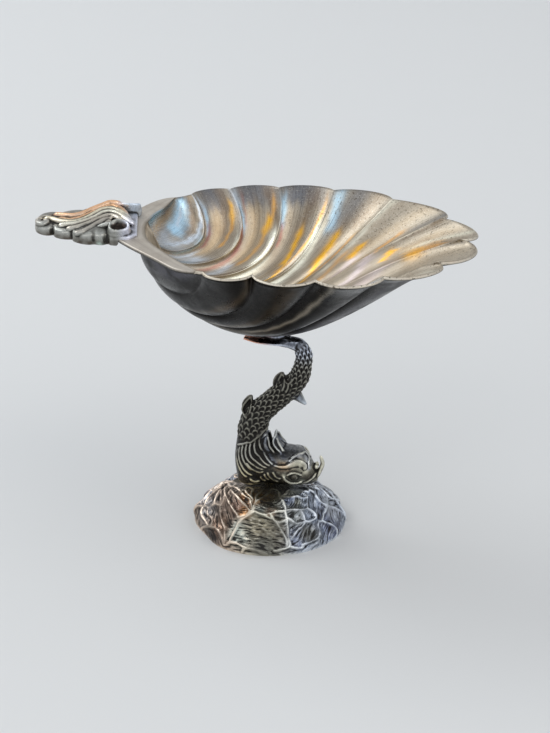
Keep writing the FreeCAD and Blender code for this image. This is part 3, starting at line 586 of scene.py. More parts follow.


# Amber, honey and ice are painted reflections of warm lamps and a bluish window.
AMBER_REFLECTION: Colour = (1.0, 0.52, 0.05)
HONEY_REFLECTION: Colour = (0.80, 0.42, 0.12)
ROSE: Colour = (0.37, 0.16, 0.13)
ICE_REFLECTION: Colour = (0.52, 0.80, 1.0)
# Pale, cream and lilac are painted highlights.
PALE_HIGHLIGHT: Colour = (0.74, 0.82, 0.90)
CREAM_HIGHLIGHT: Colour = (0.90, 0.89, 0.74)
SLATE: Colour = (0.16, 0.175, 0.205)
UMBER: Colour = (0.23, 0.16, 0.105)
LILAC_HIGHLIGHT: Colour = (0.64, 0.55, 0.54)
# Tan is painted shade that darkens the flutes' middles.
TAN_SHADE: Colour = (0.40, 0.30, 0.19)
SOOT: Colour = (0.008, 0.007, 0.007)
BRONZE: Colour = (0.10, 0.074, 0.046)
# Violet and beige are painted sheen on the black outside.
VIOLET_SHEEN: Colour = (0.075, 0.073, 0.088)
BEIGE_SHEEN: Colour = (0.34, 0.30, 0.24)

# Inside the dish: tarnish tones with painted reflections, highlights and shade.
# From flute and share along, to flute and share along, then width, fade, colour and strength.
INSIDE_TARNISH_AND_REFLECTIONS = tuple(Streak(*row) for row in (
    (0.30, 1.0, 0.55, 0.94, 0.24, 0.04, SLATE, 0.8), (0.02, 0.95, 0.12, 0.55, 0.09, 0.08, UMBER, 0.55),
    (0.70, 0.94, 0.78, 0.60, 0.08, 0.06, UMBER, 0.75), (0.62, 0.90, 0.68, 0.60, 0.04, 0.06, SLATE, 0.7),
    (0.22, 0.56, 0.30, 0.42, 0.10, 0.05, SLATE, 0.7), (0.50, 0.48, 0.62, 0.36, 0.08, 0.05, SLATE, 0.6),
    (1.50, 1.0, 1.45, 0.93, 0.28, 0.03, SLATE, 0.85), (1.72, 0.96, 1.60, 0.78, 0.10, 0.06, UMBER, 0.65),
    (1.45, 0.80, 1.55, 0.45, 0.16, 0.08, TAN_SHADE, 0.55), (2.45, 1.0, 2.40, 0.955, 0.40, 0.025, SLATE, 0.9),
    (2.74, 0.97, 2.90, 0.90, 0.09, 0.04, UMBER, 0.7), (2.45, 0.85, 2.60, 0.50, 0.14, 0.07, TAN_SHADE, 0.6),
    (3.40, 1.0, 3.35, 0.965, 0.44, 0.02, SLATE, 0.85), (3.62, 0.95, 3.50, 0.87, 0.12, 0.05, UMBER, 0.6),
    (3.45, 0.80, 3.60, 0.55, 0.08, 0.05, TAN_SHADE, 0.6), (4.40, 1.0, 4.34, 0.88, 0.16, 0.05, SLATE, 0.6),
    (4.70, 0.99, 4.62, 0.90, 0.18, 0.03, UMBER, 0.45), (5.45, 0.98, 5.40, 0.80, 0.14, 0.05, TAN_SHADE, 0.5),
    (5.80, 1.0, 5.84, 0.92, 0.11, 0.03, SLATE, 0.55), (6.05, 0.97, 6.05, 0.88, 0.09, 0.03, UMBER, 0.5),
    (6.36, 0.95, 6.42, 0.84, 0.12, 0.04, TAN_SHADE, 0.6), (6.75, 0.97, 6.75, 0.90, 0.22, 0.02, UMBER, 0.45),
    (7.30, 0.94, 7.30, 0.84, 0.16, 0.05, TAN_SHADE, 0.35), (0.50, 0.35, 1.20, 0.15, 0.80, 0.12, PALE_HIGHLIGHT, 0.65),
    (1.46, 0.86, 1.44, 0.50, 0.12, 0.08, TAN_SHADE, 0.6), (2.46, 0.90, 2.44, 0.62, 0.12, 0.06, TAN_SHADE, 0.6),
    (4.46, 0.86, 4.50, 0.70, 0.14, 0.06, TAN_SHADE, 0.5), (0.40, 0.93, 0.56, 0.55, 0.16, 0.05, ICE_REFLECTION, 1.0),
    (0.44, 0.84, 0.52, 0.66, 0.04, 0.06, PALE_HIGHLIGHT, 0.8), (0.05, 0.48, 0.24, 0.10, 0.12, 0.08, ICE_REFLECTION, 0.9),
    (0.42, 0.30, 0.75, 0.06, 0.13, 0.06, PALE_HIGHLIGHT, 0.6), (0.96, 0.96, 0.87, 0.60, 0.04, 0.04, PALE_HIGHLIGHT, 0.95),
    (0.87, 0.60, 0.78, 0.34, 0.05, 0.05, PALE_HIGHLIGHT, 0.95), (1.12, 0.94, 1.16, 0.76, 0.10, 0.04, PALE_HIGHLIGHT, 0.9),
    (1.20, 0.90, 1.22, 0.80, 0.04, 0.03, ICE_REFLECTION, 0.7), (1.02, 0.66, 1.20, 0.32, 0.09, 0.06, ICE_REFLECTION, 0.55),
    (1.34, 0.46, 1.46, 0.30, 0.05, 0.05, PALE_HIGHLIGHT, 0.6), (1.70, 0.40, 2.10, 0.18, 0.26, 0.06, PALE_HIGHLIGHT, 0.7),
    (2.05, 0.97, 2.10, 0.80, 0.08, 0.03, PALE_HIGHLIGHT, 1.0), (2.07, 0.92, 2.11, 0.83, 0.04, 0.03, ICE_REFLECTION, 0.7),
    (2.52, 0.50, 2.78, 0.34, 0.12, 0.04, PALE_HIGHLIGHT, 0.5), (3.08, 0.96, 3.10, 0.87, 0.06, 0.02, ICE_REFLECTION, 0.8),
    (4.12, 0.98, 4.20, 0.89, 0.08, 0.03, ICE_REFLECTION, 0.75), (1.94, 0.74, 2.08, 0.50, 0.04, 0.05, CREAM_HIGHLIGHT, 0.6),
    (2.92, 0.80, 3.04, 0.62, 0.09, 0.04, CREAM_HIGHLIGHT, 0.95), (3.04, 0.62, 3.34, 0.42, 0.20, 0.05, CREAM_HIGHLIGHT, 1.0),
    (3.98, 0.84, 4.22, 0.55, 0.13, 0.05, CREAM_HIGHLIGHT, 1.0), (5.02, 0.98, 5.10, 0.66, 0.04, 0.04, CREAM_HIGHLIGHT, 0.5),
    (5.95, 0.95, 6.02, 0.86, 0.04, 0.03, CREAM_HIGHLIGHT, 0.4), (6.55, 0.98, 6.48, 0.86, 0.05, 0.03, CREAM_HIGHLIGHT, 0.5),
    (1.24, 0.79, 1.29, 0.60, 0.06, 0.04, ROSE, 0.8), (2.06, 0.78, 2.20, 0.62, 0.07, 0.03, ROSE, 0.9),
    (2.20, 0.62, 2.44, 0.36, 0.10, 0.04, ROSE, 0.65), (2.22, 0.96, 2.19, 0.85, 0.03, 0.03, ROSE, 0.5),
    (3.11, 0.86, 3.16, 0.77, 0.05, 0.02, ROSE, 0.8), (1.83, 0.93, 1.80, 0.85, 0.05, 0.02, AMBER_REFLECTION, 0.75),
    (1.79, 0.85, 1.66, 0.64, 0.035, 0.03, HONEY_REFLECTION, 0.85), (2.85, 0.94, 2.74, 0.87, 0.05, 0.03, HONEY_REFLECTION, 0.9),
    (2.74, 0.88, 2.68, 0.82, 0.07, 0.02, AMBER_REFLECTION, 1.0), (2.68, 0.82, 2.62, 0.58, 0.05, 0.04, HONEY_REFLECTION, 0.7),
    (3.55, 0.84, 3.62, 0.70, 0.055, 0.03, AMBER_REFLECTION, 1.0), (3.62, 0.70, 3.88, 0.56, 0.05, 0.03, AMBER_REFLECTION, 0.85),
    (3.88, 0.94, 3.80, 0.78, 0.04, 0.03, HONEY_REFLECTION, 0.9), (3.80, 0.78, 3.70, 0.62, 0.03, 0.03, HONEY_REFLECTION, 0.7),
    (4.42, 0.84, 4.52, 0.72, 0.075, 0.025, AMBER_REFLECTION, 1.0), (4.52, 0.72, 4.96, 0.59, 0.09, 0.025, AMBER_REFLECTION, 0.85),
    (4.84, 0.84, 4.92, 0.66, 0.05, 0.03, HONEY_REFLECTION, 0.65), (5.27, 0.80, 5.35, 0.74, 0.065, 0.02, AMBER_REFLECTION, 1.0),
    (5.16, 0.74, 5.34, 0.60, 0.06, 0.03, HONEY_REFLECTION, 0.5), (5.66, 0.89, 5.74, 0.81, 0.045, 0.02, HONEY_REFLECTION, 0.75),
    (5.78, 0.80, 5.98, 0.765, 0.06, 0.015, HONEY_REFLECTION, 0.85),
    (6.26, 0.80, 6.42, 0.755, 0.085, 0.015, AMBER_REFLECTION, 0.95),
    (6.76, 0.92, 6.80, 0.86, 0.18, 0.02, HONEY_REFLECTION, 0.85), (5.48, 0.72, 5.78, 0.58, 0.09, 0.03, LILAC_HIGHLIGHT, 0.8),
    (6.06, 0.72, 6.60, 0.61, 0.14, 0.03, LILAC_HIGHLIGHT, 0.9), (6.84, 0.76, 7.24, 0.64, 0.18, 0.025, LILAC_HIGHLIGHT, 0.6),
    (6.82, 0.857, 6.82, 0.832, 0.24, 0.024, AMBER_REFLECTION, 1.0), (7.86, 0.98, 7.80, 0.70, 0.10, 0.05, TAN_SHADE, 0.5),
    (8.40, 0.96, 8.50, 0.70, 0.08, 0.05, CREAM_HIGHLIGHT, 0.5), (8.74, 0.92, 8.66, 0.76, 0.08, 0.04, HONEY_REFLECTION, 0.6),
    (9.20, 0.98, 9.30, 0.60, 0.10, 0.06, PALE_HIGHLIGHT, 0.6), (9.66, 0.90, 9.60, 0.62, 0.09, 0.05, TAN_SHADE, 0.7),
    (10.24, 0.98, 10.36, 0.62, 0.12, 0.05, SLATE, 0.6), (10.72, 0.90, 10.60, 0.60, 0.08, 0.05, CREAM_HIGHLIGHT, 0.6),
    (11.20, 0.98, 11.34, 0.50, 0.12, 0.06, UMBER, 0.6), (11.70, 0.86, 11.56, 0.50, 0.10, 0.06, ICE_REFLECTION, 0.45),
    (12.30, 0.96, 12.40, 0.40, 0.16, 0.06, SLATE, 0.5), (12.78, 0.80, 12.70, 0.30, 0.08, 0.08, PALE_HIGHLIGHT, 0.6),
))
# Outside: black tarnish and dark streaks, with painted sheen along some flutes.
OUTSIDE_TARNISH_AND_SHEEN = tuple(Streak(*row) for row in (
    (9.74, 0.97, 9.80, 0.60, 0.045, 0.05, BEIGE_SHEEN, 0.95), (9.62, 0.60, 9.90, 0.40, 0.08, 0.06, BRONZE, 0.8),
    (9.30, 0.96, 9.36, 0.60, 0.10, 0.05, SOOT, 0.8), (10.36, 0.94, 10.46, 0.46, 0.12, 0.06, BRONZE, 0.9),
    (10.80, 0.96, 10.78, 0.40, 0.10, 0.06, SOOT, 0.8), (11.05, 0.98, 11.32, 0.78, 0.09, 0.04, BRONZE, 0.9),
    (11.32, 0.78, 11.40, 0.50, 0.08, 0.06, BRONZE, 0.5), (11.80, 0.95, 11.90, 0.45, 0.12, 0.06, SOOT, 0.85),
    (12.50, 0.94, 12.62, 0.66, 0.17, 0.05, VIOLET_SHEEN, 0.95), (12.20, 0.82, 12.60, 0.76, 0.16, 0.02, SOOT, 0.8),
    (12.72, 0.66, 12.78, 0.30, 0.04, 0.06, VIOLET_SHEEN, 0.9),
    (12.50, 0.60, 12.60, 0.30, 0.03, 0.06, VIOLET_SHEEN, 0.8),
    (8.70, 0.88, 8.78, 0.55, 0.09, 0.05, VIOLET_SHEEN, 0.7), (8.30, 0.96, 8.36, 0.50, 0.10, 0.06, SOOT, 0.7),
    (7.60, 0.95, 7.50, 0.40, 0.12, 0.06, BRONZE, 0.6), (6.55, 0.95, 6.50, 0.40, 0.12, 0.06, BRONZE, 0.7),
    (5.50, 0.95, 5.50, 0.40, 0.10, 0.06, VIOLET_SHEEN, 0.7), (4.55, 0.95, 4.50, 0.40, 0.12, 0.06, BRONZE, 0.7),
    (3.50, 0.95, 3.50, 0.40, 0.10, 0.06, BEIGE_SHEEN, 0.35), (2.50, 0.95, 2.50, 0.30, 0.14, 0.06, BRONZE, 0.7),
    (1.50, 0.95, 1.50, 0.30, 0.14, 0.06, VIOLET_SHEEN, 0.7), (0.50, 0.95, 0.50, 0.30, 0.16, 0.06, BRONZE, 0.6),
))


def mix(base: np.ndarray, colour: Colour, share: np.ndarray) -> np.ndarray:
    """Colours moved towards one colour by a share per point."""
    return base + (np.array(colour) - base) * np.clip(share, 0.0, 1.0)[:, None]


def layered(base: Colour, count: int, *layers: tuple[Colour, np.ndarray]) -> np.ndarray:
    """Colours per point.

    Args:
        base: The colour under all others.
        count: Number of points.
        layers: Colours laid over it in order, each with its share per point.

    Returns:
        One colour per point.
    """
    colours = np.tile(np.array(base), (count, 1))
    for colour, share in layers:
        colours = mix(colours, colour, share)
    return colours


def with_alpha(colours: np.ndarray) -> np.ndarray:
    """Colours with a fourth value of 1."""
    return np.hstack([colours, np.ones((len(colours), 1))])


def attribute(mesh: bpy.types.Mesh, key: str) -> np.ndarray:
    """Values of a number that the mesh stores per point."""
    values = np.empty(len(mesh.vertices), np.float32)
    mesh.attributes[key].data.foreach_get("value", values)
    return values.astype(float)


@dataclass(frozen=True)
class DishFinish:
    """Worn silver inside the dish and black tarnish outside, both carrying painted light."""

    silver: Colour = (0.41, 0.35, 0.27)
    flange: Colour = (0.60, 0.545, 0.475)
    outside: Colour = (0.009, 0.0082, 0.0076)
    rim: Colour = (0.66, 0.60, 0.50)
    tips: Colour = (0.56, 0.49, 0.39)

    def paint(self, mesh: bpy.types.Mesh) -> None:
        """Stores the coat's colour, where it is dull and where it is speckled."""
        flute, along, side = (attribute(mesh, key) for key in ("flute", "along", "side"))
        on_flute = flute >= 0
        back = side > Side.RIM.value + 0.1
        wander = 0.011 * np.sin(along * 41.0 + flute * 9.0) + 0.009 * np.sin(along * 97.0 - flute * 23.0)
        drift = 0.008 * np.sin(flute * 37.0 + along * 20.0)

        def streaks(rows: tuple[Streak, ...]) -> list[tuple[Colour, np.ndarray]]:
            """The streaks' colours, each with its share per point."""
            return [(row.colour, on_flute * row.cover(flute + wander, along + drift)) for row in rows]

        # Lighter silver near the rim of flutes 3 to 6 is painted light.
        tips = on_flute * ramp(along, 0.80, 0.98) * ramp(flute, 3.4, 5.6) * 0.9
        # Inside coat: silver with the streaks' tarnish tones, painted reflections, highlights and shade.
        colour = layered(self.silver, len(flute), (self.tips, tips), *streaks(INSIDE_TARNISH_AND_REFLECTIONS),
                         (self.flange, (~on_flute) * 1.0))
        crease = np.exp(-(np.abs(flute - np.round(flute)) / 0.06) ** 2)
        # Outside coat: near-black tarnish, with painted sheen where its streaks are light.
        dark = layered(self.outside, len(flute), *streaks(OUTSIDE_TARNISH_AND_SHEEN), (SOOT, crease * on_flute * 0.8))
        colour = np.where(back[:, None], dark, colour)
        edge = np.abs(side - Side.RIM.value) < 0.1
        colour = np.where(edge[:, None], np.array(self.rim), colour)
        store(mesh, "coat", with_alpha(colour))
        far = on_flute * np.maximum(ramp(along, 0.90, 1.0) * 0.7, ramp(flute, 3.0, 6.5) * 0.75)
        store(mesh, "dull", np.where(back, 0.5, far + (~on_flute) * 0.9))
        rows = on_flute * (ramp(along, 0.70, 0.97) * (0.45 + 0.55 * ramp(flute, 2.4, 5.0)) + 0.12)
        store(mesh, "speck", np.where(back, 0.4 + 0.5 * crease, rows + (~on_flute) * 0.15))


class NodeTree:
    """Short ways to add shader nodes to one tree."""

    def __init__(self, tree: bpy.types.NodeTree) -> None:
        self.tree = tree

    def add(self, kind: str, inputs: dict | None = None, **settings: object) -> bpy.types.Node:
        """Adds a node.

        Args:
            kind: Blender's name of the node type.
            inputs: Sockets or constants by input name or number.
            settings: The node's own properties.

        Returns:
            The node.
        """
        node = self.tree.nodes.new(kind)
        for key, value in settings.items():
            setattr(node, key, value)
        for key, value in (inputs or {}).items():
            if isinstance(value, bpy.types.NodeSocket):
                self.tree.links.new(value, node.inputs[key])
            else:
                node.inputs[key].default_value = value
        return node

    def stored(self, key: str, output: str = "Fac") -> bpy.types.NodeSocket:
        """Number, or "Color", that the mesh stores at each point."""
        return self.add("ShaderNodeAttribute", attribute_name=key).outputs[output]

    def math(self, operation: str, first: object, second: object = 0.0) -> bpy.types.NodeSocket:
        """Result of a sum of two values."""
        return self.add("ShaderNodeMath", {0: first, 1: second}, operation=operation).outputs[0]

    def spread(self, value: object, low: float, high: float, start: float = 0.0,
               end: float = 1.0) -> bpy.types.NodeSocket:
        """Value brought smoothly from one range to another."""
        return self.add("ShaderNodeMapRange", {"Value": value, 1: low, 2: high, 3: start, 4: end},
                        interpolation_type="SMOOTHSTEP").outputs[0]

    def blend(self, share: object, first: object, second: object,
              how: str = "MIX") -> bpy.types.NodeSocket:
        """Colour between two."""
        node = self.add("ShaderNodeMix", {"Factor": share, 6: first, 7: second}, data_type="RGBA",
                        blend_type=how)
        return node.outputs[2]

    def noise(self, vector: object, scale: float, detail: float = 3.0,
              roughness: float = 0.5) -> bpy.types.NodeSocket:
        """Soft noise, from 0 to 1."""
        return self.add("ShaderNodeTexNoise", {"Vector": vector, "Scale": scale, "Detail": detail,
                                               "Roughness": roughness}).outputs[0]


def group(name: str, inputs: dict[str, float],
          outputs: dict[str, str]) -> tuple[bpy.types.NodeTree, NodeTree]:
    """An empty shader node group with named sockets."""
    tree = bpy.data.node_groups.new(name, "ShaderNodeTree")
    for key, value in inputs.items():
        socket = tree.interface.new_socket(key, in_out="INPUT", socket_type="NodeSocketFloat")
        socket.default_value = value
    for key, kind in outputs.items():
        tree.interface.new_socket(key, in_out="OUTPUT", socket_type=kind)
    return tree, NodeTree(tree)


def tarnish_group() -> bpy.types.NodeTree:
    """Clouds and pits of tarnish, shared by all the silver."""
    tree, nodes = group("tarnish", {"Size": 1.0}, {"Clouds": "NodeSocketFloat", "Pits": "NodeSocketFloat"})
    entry = nodes.add("NodeGroupInput")
    place_node = nodes.add("ShaderNodeTexCoord")
    vector = nodes.add("ShaderNodeVectorMath", {0: place_node.outputs["Object"]}, operation="SCALE")
    tree.links.new(entry.outputs["Size"], vector.inputs["Scale"])
    clouds = nodes.noise(vector.outputs[0], 120.0, 5.0, 0.62)
    pits = nodes.noise(vector.outputs[0], 1300.0, 3.0, 0.7)
    leave = nodes.add("NodeGroupOutput")
    tree.links.new(nodes.spread(clouds, 0.38, 0.66), leave.inputs["Clouds"])
    tree.links.new(nodes.spread(pits, 0.56, 0.66), leave.inputs["Pits"])
    return tree


def patina_group() -> bpy.types.NodeTree:
    """Wear of cast silver: worn ridges and blackened hollows, from the stored relief."""
    tree, nodes = group("patina", {"Relief": 0.0, "Hollow": -0.05, "Ridge": 0.08},
                        {"Worn": "NodeSocketFloat", "Black": "NodeSocketFloat"})
    entry = nodes.add("NodeGroupInput")
    coordinates_node = nodes.add("ShaderNodeTexCoord")
    grain = nodes.noise(coordinates_node.outputs["Object"], 900.0, 4.0, 0.6)
    shift = nodes.math("MULTIPLY", nodes.math("SUBTRACT", grain, 0.5), 0.12)
    level = nodes.math("ADD", entry.outputs["Relief"], shift)
    worn = nodes.add("ShaderNodeMapRange", {"Value": level, 1: 0.0, 2: entry.outputs["Ridge"]},
                     interpolation_type="SMOOTHSTEP").outputs[0]
    black = nodes.add("ShaderNodeMapRange", {"Value": level, 1: 0.0, 2: entry.outputs["Hollow"]},
                      interpolation_type="SMOOTHSTEP").outputs[0]
    leave = nodes.add("NodeGroupOutput")
    tree.links.new(worn, leave.inputs["Worn"])
    tree.links.new(black, leave.inputs["Black"])
    return tree


def scratch_group() -> bpy.types.NodeTree:
    """Fine rubbing marks that run along the flutes."""
    tree, nodes = group("rubbing", {"Across": 0.0, "Along": 0.0}, {"Marks": "NodeSocketFloat"})
    entry = nodes.add("NodeGroupInput")
    across = nodes.math("MULTIPLY", entry.outputs["Across"], 34.0)
    along = nodes.math("MULTIPLY", entry.outputs["Along"], 3.0)
    vector = nodes.add("ShaderNodeCombineXYZ", {0: across, 1: along, 2: 0.0}).outputs[0]
    leave = nodes.add("NodeGroupOutput")
    tree.links.new(nodes.noise(vector, 1.0, 6.0, 0.72), leave.inputs["Marks"])
    return tree


@dataclass
class Finishes:
    """All materials of the salt, built once."""

    tarnish: bpy.types.NodeTree = field(default_factory=tarnish_group)
    patina: bpy.types.NodeTree = field(default_factory=patina_group)
    rubbing: bpy.types.NodeTree = field(default_factory=scratch_group)

    # Tones that the masks bring in: on the dish inside, outside, on the castings and on the brass.
    SHINE = (1.0, 0.97, 0.90, 1.0)
    GRIME = (0.30, 0.24, 0.18, 1.0)
    SHADE = (0.55, 0.48, 0.42, 1.0)
    PIT = (0.10, 0.075, 0.05, 1.0)
    FLECK = (0.80, 0.76, 0.66, 1.0)
    SOOTY_PIT = (0.006, 0.005, 0.005, 1.0)
    SOOTY_FLECK = (0.30, 0.26, 0.20, 1.0)
    SOOTY_RUB = (0.10, 0.078, 0.058, 1.0)
    CLOUD = (0.05, 0.042, 0.035, 1.0)
    BLACK = (0.016, 0.014, 0.012, 1.0)
    BRASS = (0.56, 0.43, 0.20, 1.0)
    DULL_BRASS = (0.20, 0.13, 0.06, 1.0)

    def start(self, name: str) -> tuple[bpy.types.Material, NodeTree, bpy.types.Node]:
        """A new material, its nodes and its surface shader."""
        material = bpy.data.materials.new(name)
        material.use_nodes = True
        material.node_tree.nodes.clear()
        nodes = NodeTree(material.node_tree)
        surface = nodes.add("ShaderNodeBsdfPrincipled")
        output = nodes.add("ShaderNodeOutputMaterial")
        material.node_tree.links.new(surface.outputs[0], output.inputs["Surface"])
        return material, nodes, surface

    def dish(self) -> bpy.types.Material:
        """Silver of the dish: its coat with painted light and shade, rubbing marks, clouds and pits."""
        material, nodes, surface = self.start("dish_silver_worn_and_sheen")
        link = material.node_tree.links.new
        coat = nodes.stored("coat", "Color")
        dull, speck, flute, along, side = map(nodes.stored, ("dull", "speck", "flute", "along", "side"))
        marks = nodes.add("ShaderNodeGroup", {"Across": flute, "Along": along},
                          node_tree=self.rubbing).outputs[0]
        tarnish = nodes.add("ShaderNodeGroup", {"Size": 1.0}, node_tree=self.tarnish)
        finer = nodes.add("ShaderNodeGroup", {"Size": 1.9}, node_tree=self.tarnish)
        clouds, pits, flecks = tarnish.outputs["Clouds"], tarnish.outputs["Pits"], finer.outputs["Pits"]
        bright = nodes.blend(nodes.spread(marks, 0.46, 0.72, 0.0, 0.5), coat, self.SHINE, "SOFT_LIGHT")
        lined = nodes.blend(nodes.spread(marks, 0.48, 0.30, 0.0, 0.45), bright, self.GRIME, "MULTIPLY")
        shaded = nodes.blend(nodes.math("MULTIPLY", clouds, 0.30), lined, self.SHADE, "MULTIPLY")
        pitted = nodes.blend(nodes.math("MULTIPLY", pits, nodes.math("MULTIPLY", speck, 0.75)), shaded,
                             self.PIT)
        flecked = nodes.blend(nodes.math("MULTIPLY", flecks, nodes.math("MULTIPLY", speck, 0.45)), pitted,
                              self.FLECK)
        outside = nodes.spread(side, 0.52, 0.66)
        sooty = nodes.blend(nodes.math("MULTIPLY", pits, speck), coat, self.SOOTY_PIT)
        speckled = nodes.blend(nodes.math("MULTIPLY", flecks, 0.08), sooty, self.SOOTY_FLECK)
        streaked = nodes.blend(nodes.spread(marks, 0.55, 0.70, 0.0, 0.25), speckled, self.SOOTY_RUB)
        link(nodes.blend(outside, flecked, streaked), surface.inputs["Base Color"])
        rough_inside = nodes.math("ADD", nodes.spread(dull, 0.0, 1.0, 0.25, 0.52),
                                  nodes.spread(marks, 0.3, 0.7, -0.04, 0.06))
        rough_outside = nodes.spread(clouds, 0.0, 1.0, 0.27, 0.45)
        roughness = nodes.add("ShaderNodeMix",
                              {"Factor": outside, 2: rough_inside, 3: rough_outside}).outputs[0]
        link(roughness, surface.inputs["Roughness"])
        surface.inputs["Metallic"].default_value = 1.0
        height = nodes.math("ADD", marks, nodes.math("MULTIPLY", pits, -0.6))
        bump = nodes.add("ShaderNodeBump", {"Strength": 0.25, "Distance": 0.00006, "Height": height})
        link(bump.outputs[0], surface.inputs["Normal"])
        return material

    def casting(self, name: str, hollow: float, ridge: float) -> bpy.types.Material:
        """Antiqued cast silver: tinted coat, worn ridges and black hollows.

        Args:
            name: Name of the material.
            hollow: Depth in millimetres at which the hollows are black.
            ridge: Height in millimetres at which the ridges are bright.

        Returns:
            The material.
        """
        material, nodes, surface = self.start(name)
        link = material.node_tree.links.new
        # Stored coat and glint hold painted highlights, reflections and shade on parts of each casting.
        coat, glint = nodes.stored("coat", "Color"), nodes.stored("glint", "Color")
        relief_mm = nodes.math("MULTIPLY", nodes.stored("relief"), 1000.0)
        patina = nodes.add("ShaderNodeGroup", {"Relief": relief_mm, "Hollow": hollow, "Ridge": ridge},
                           node_tree=self.patina)
        tarnish = nodes.add("ShaderNodeGroup", {"Size": 3.0}, node_tree=self.tarnish)
        clouds = tarnish.outputs["Clouds"]
        aged = nodes.blend(nodes.math("MULTIPLY", clouds, 0.5), coat, self.CLOUD)
        worn = nodes.blend(nodes.math("MULTIPLY", patina.outputs["Worn"], 0.92), aged, glint)
        black = nodes.blend(nodes.math("MULTIPLY", patina.outputs["Black"], 0.93), worn, self.BLACK)
        link(black, surface.inputs["Base Color"])
        metal = nodes.spread(patina.outputs["Black"], 0.0, 1.0, 1.0, 0.55)
        link(metal, surface.inputs["Metallic"])
        rough = nodes.math("ADD", nodes.spread(patina.outputs["Black"], 0.0, 1.0, 0.27, 0.62),
                           nodes.math("MULTIPLY", clouds, 0.12))
        link(rough, surface.inputs["Roughness"])
        bump = nodes.add("ShaderNodeBump", {"Strength": 0.35, "Distance": 0.00012,
                                            "Height": tarnish.outputs["Pits"]})
        link(bump.outputs[0], surface.inputs["Normal"])
        return material

    def brass(self) -> bpy.types.Material:
        """Dull turned brass of the stud, washer and nut."""
        material, nodes, surface = self.start("fastening_brass_dull")
        link = material.node_tree.links.new
        tarnish = nodes.add("ShaderNodeGroup", {"Size": 2.0}, node_tree=self.tarnish)
        colour = nodes.blend(nodes.math("MULTIPLY", tarnish.outputs["Clouds"], 0.6),
                             self.BRASS, self.DULL_BRASS)
        link(colour, surface.inputs["Base Color"])
        link(nodes.spread(tarnish.outputs["Clouds"], 0.0, 1.0, 0.32, 0.55), surface.inputs["Roughness"])
        surface.inputs["Metallic"].default_value = 1.0
        return material


def tube(skin: Skin, line: np.ndarray, across: np.ndarray, rise: np.ndarray, sides: int = 16) -> None:
    """Closed oval tube along a line, with its two half axes at each point."""
    turns = circle(sides)
    rings = (line[:, None] + across[:, None] * np.cos(turns)[None, :, None]
             + rise[:, None] * np.sin(turns)[None, :, None])
    close_rings(skin, rings)


def close_rings(skin: Skin, rings: np.ndarray) -> None:
    """Joins rings of points into one closed skin."""
    numbers = skin.add_points(rings)
    skin.add_quads(numbers, closed=True)
    skin.add_cap(numbers[0], flip=True)
    skin.add_cap(numbers[-1])


def strand(skin: Skin, rows: list[tuple[float, ...]], count: int, sides: int = 12) -> None:
    """Strand with rounded ends along rows of a place, a half width and a half thickness.

    Args:
        skin: Where the strand goes.
        rows: The rows, in metres.
        count: Number of rings.
        sides: Points per ring.
    """
    table = through(rows, count)
    line, width, thick = table[:, :3], table[:, 3], table[:, 4]
    rings_to_end = np.minimum(np.arange(count), np.arange(count)[::-1])
    ends = np.sqrt(np.clip(rings_to_end / 2.5, 0.06, 1.0))
    ahead = unit(np.gradient(line, axis=0))
    side = np.array([0.0, 1.0, 0.0])
    across = unit(side - ahead * (ahead @ side)[:, None])
    rise = np.cross(ahead, across)
    tube(skin, line, across * (width * ends)[:, None], rise * (thick * ends)[:, None], sides)


def ball(skin: Skin, centre: np.ndarray, radii: tuple[float, float, float]) -> None:
    """Closed ellipsoid."""
    turns = np.linspace(0.04, math.pi - 0.04, 12)
    line = np.array(centre) + np.stack([0 * turns, 0 * turns, -np.cos(turns) * radii[2]], axis=1)
    width = np.sin(turns)[:, None]
    tube(skin, line, width * np.array([radii[0], 0.0, 0.0]), width * np.array([0.0, radii[1], 0.0]), 18)


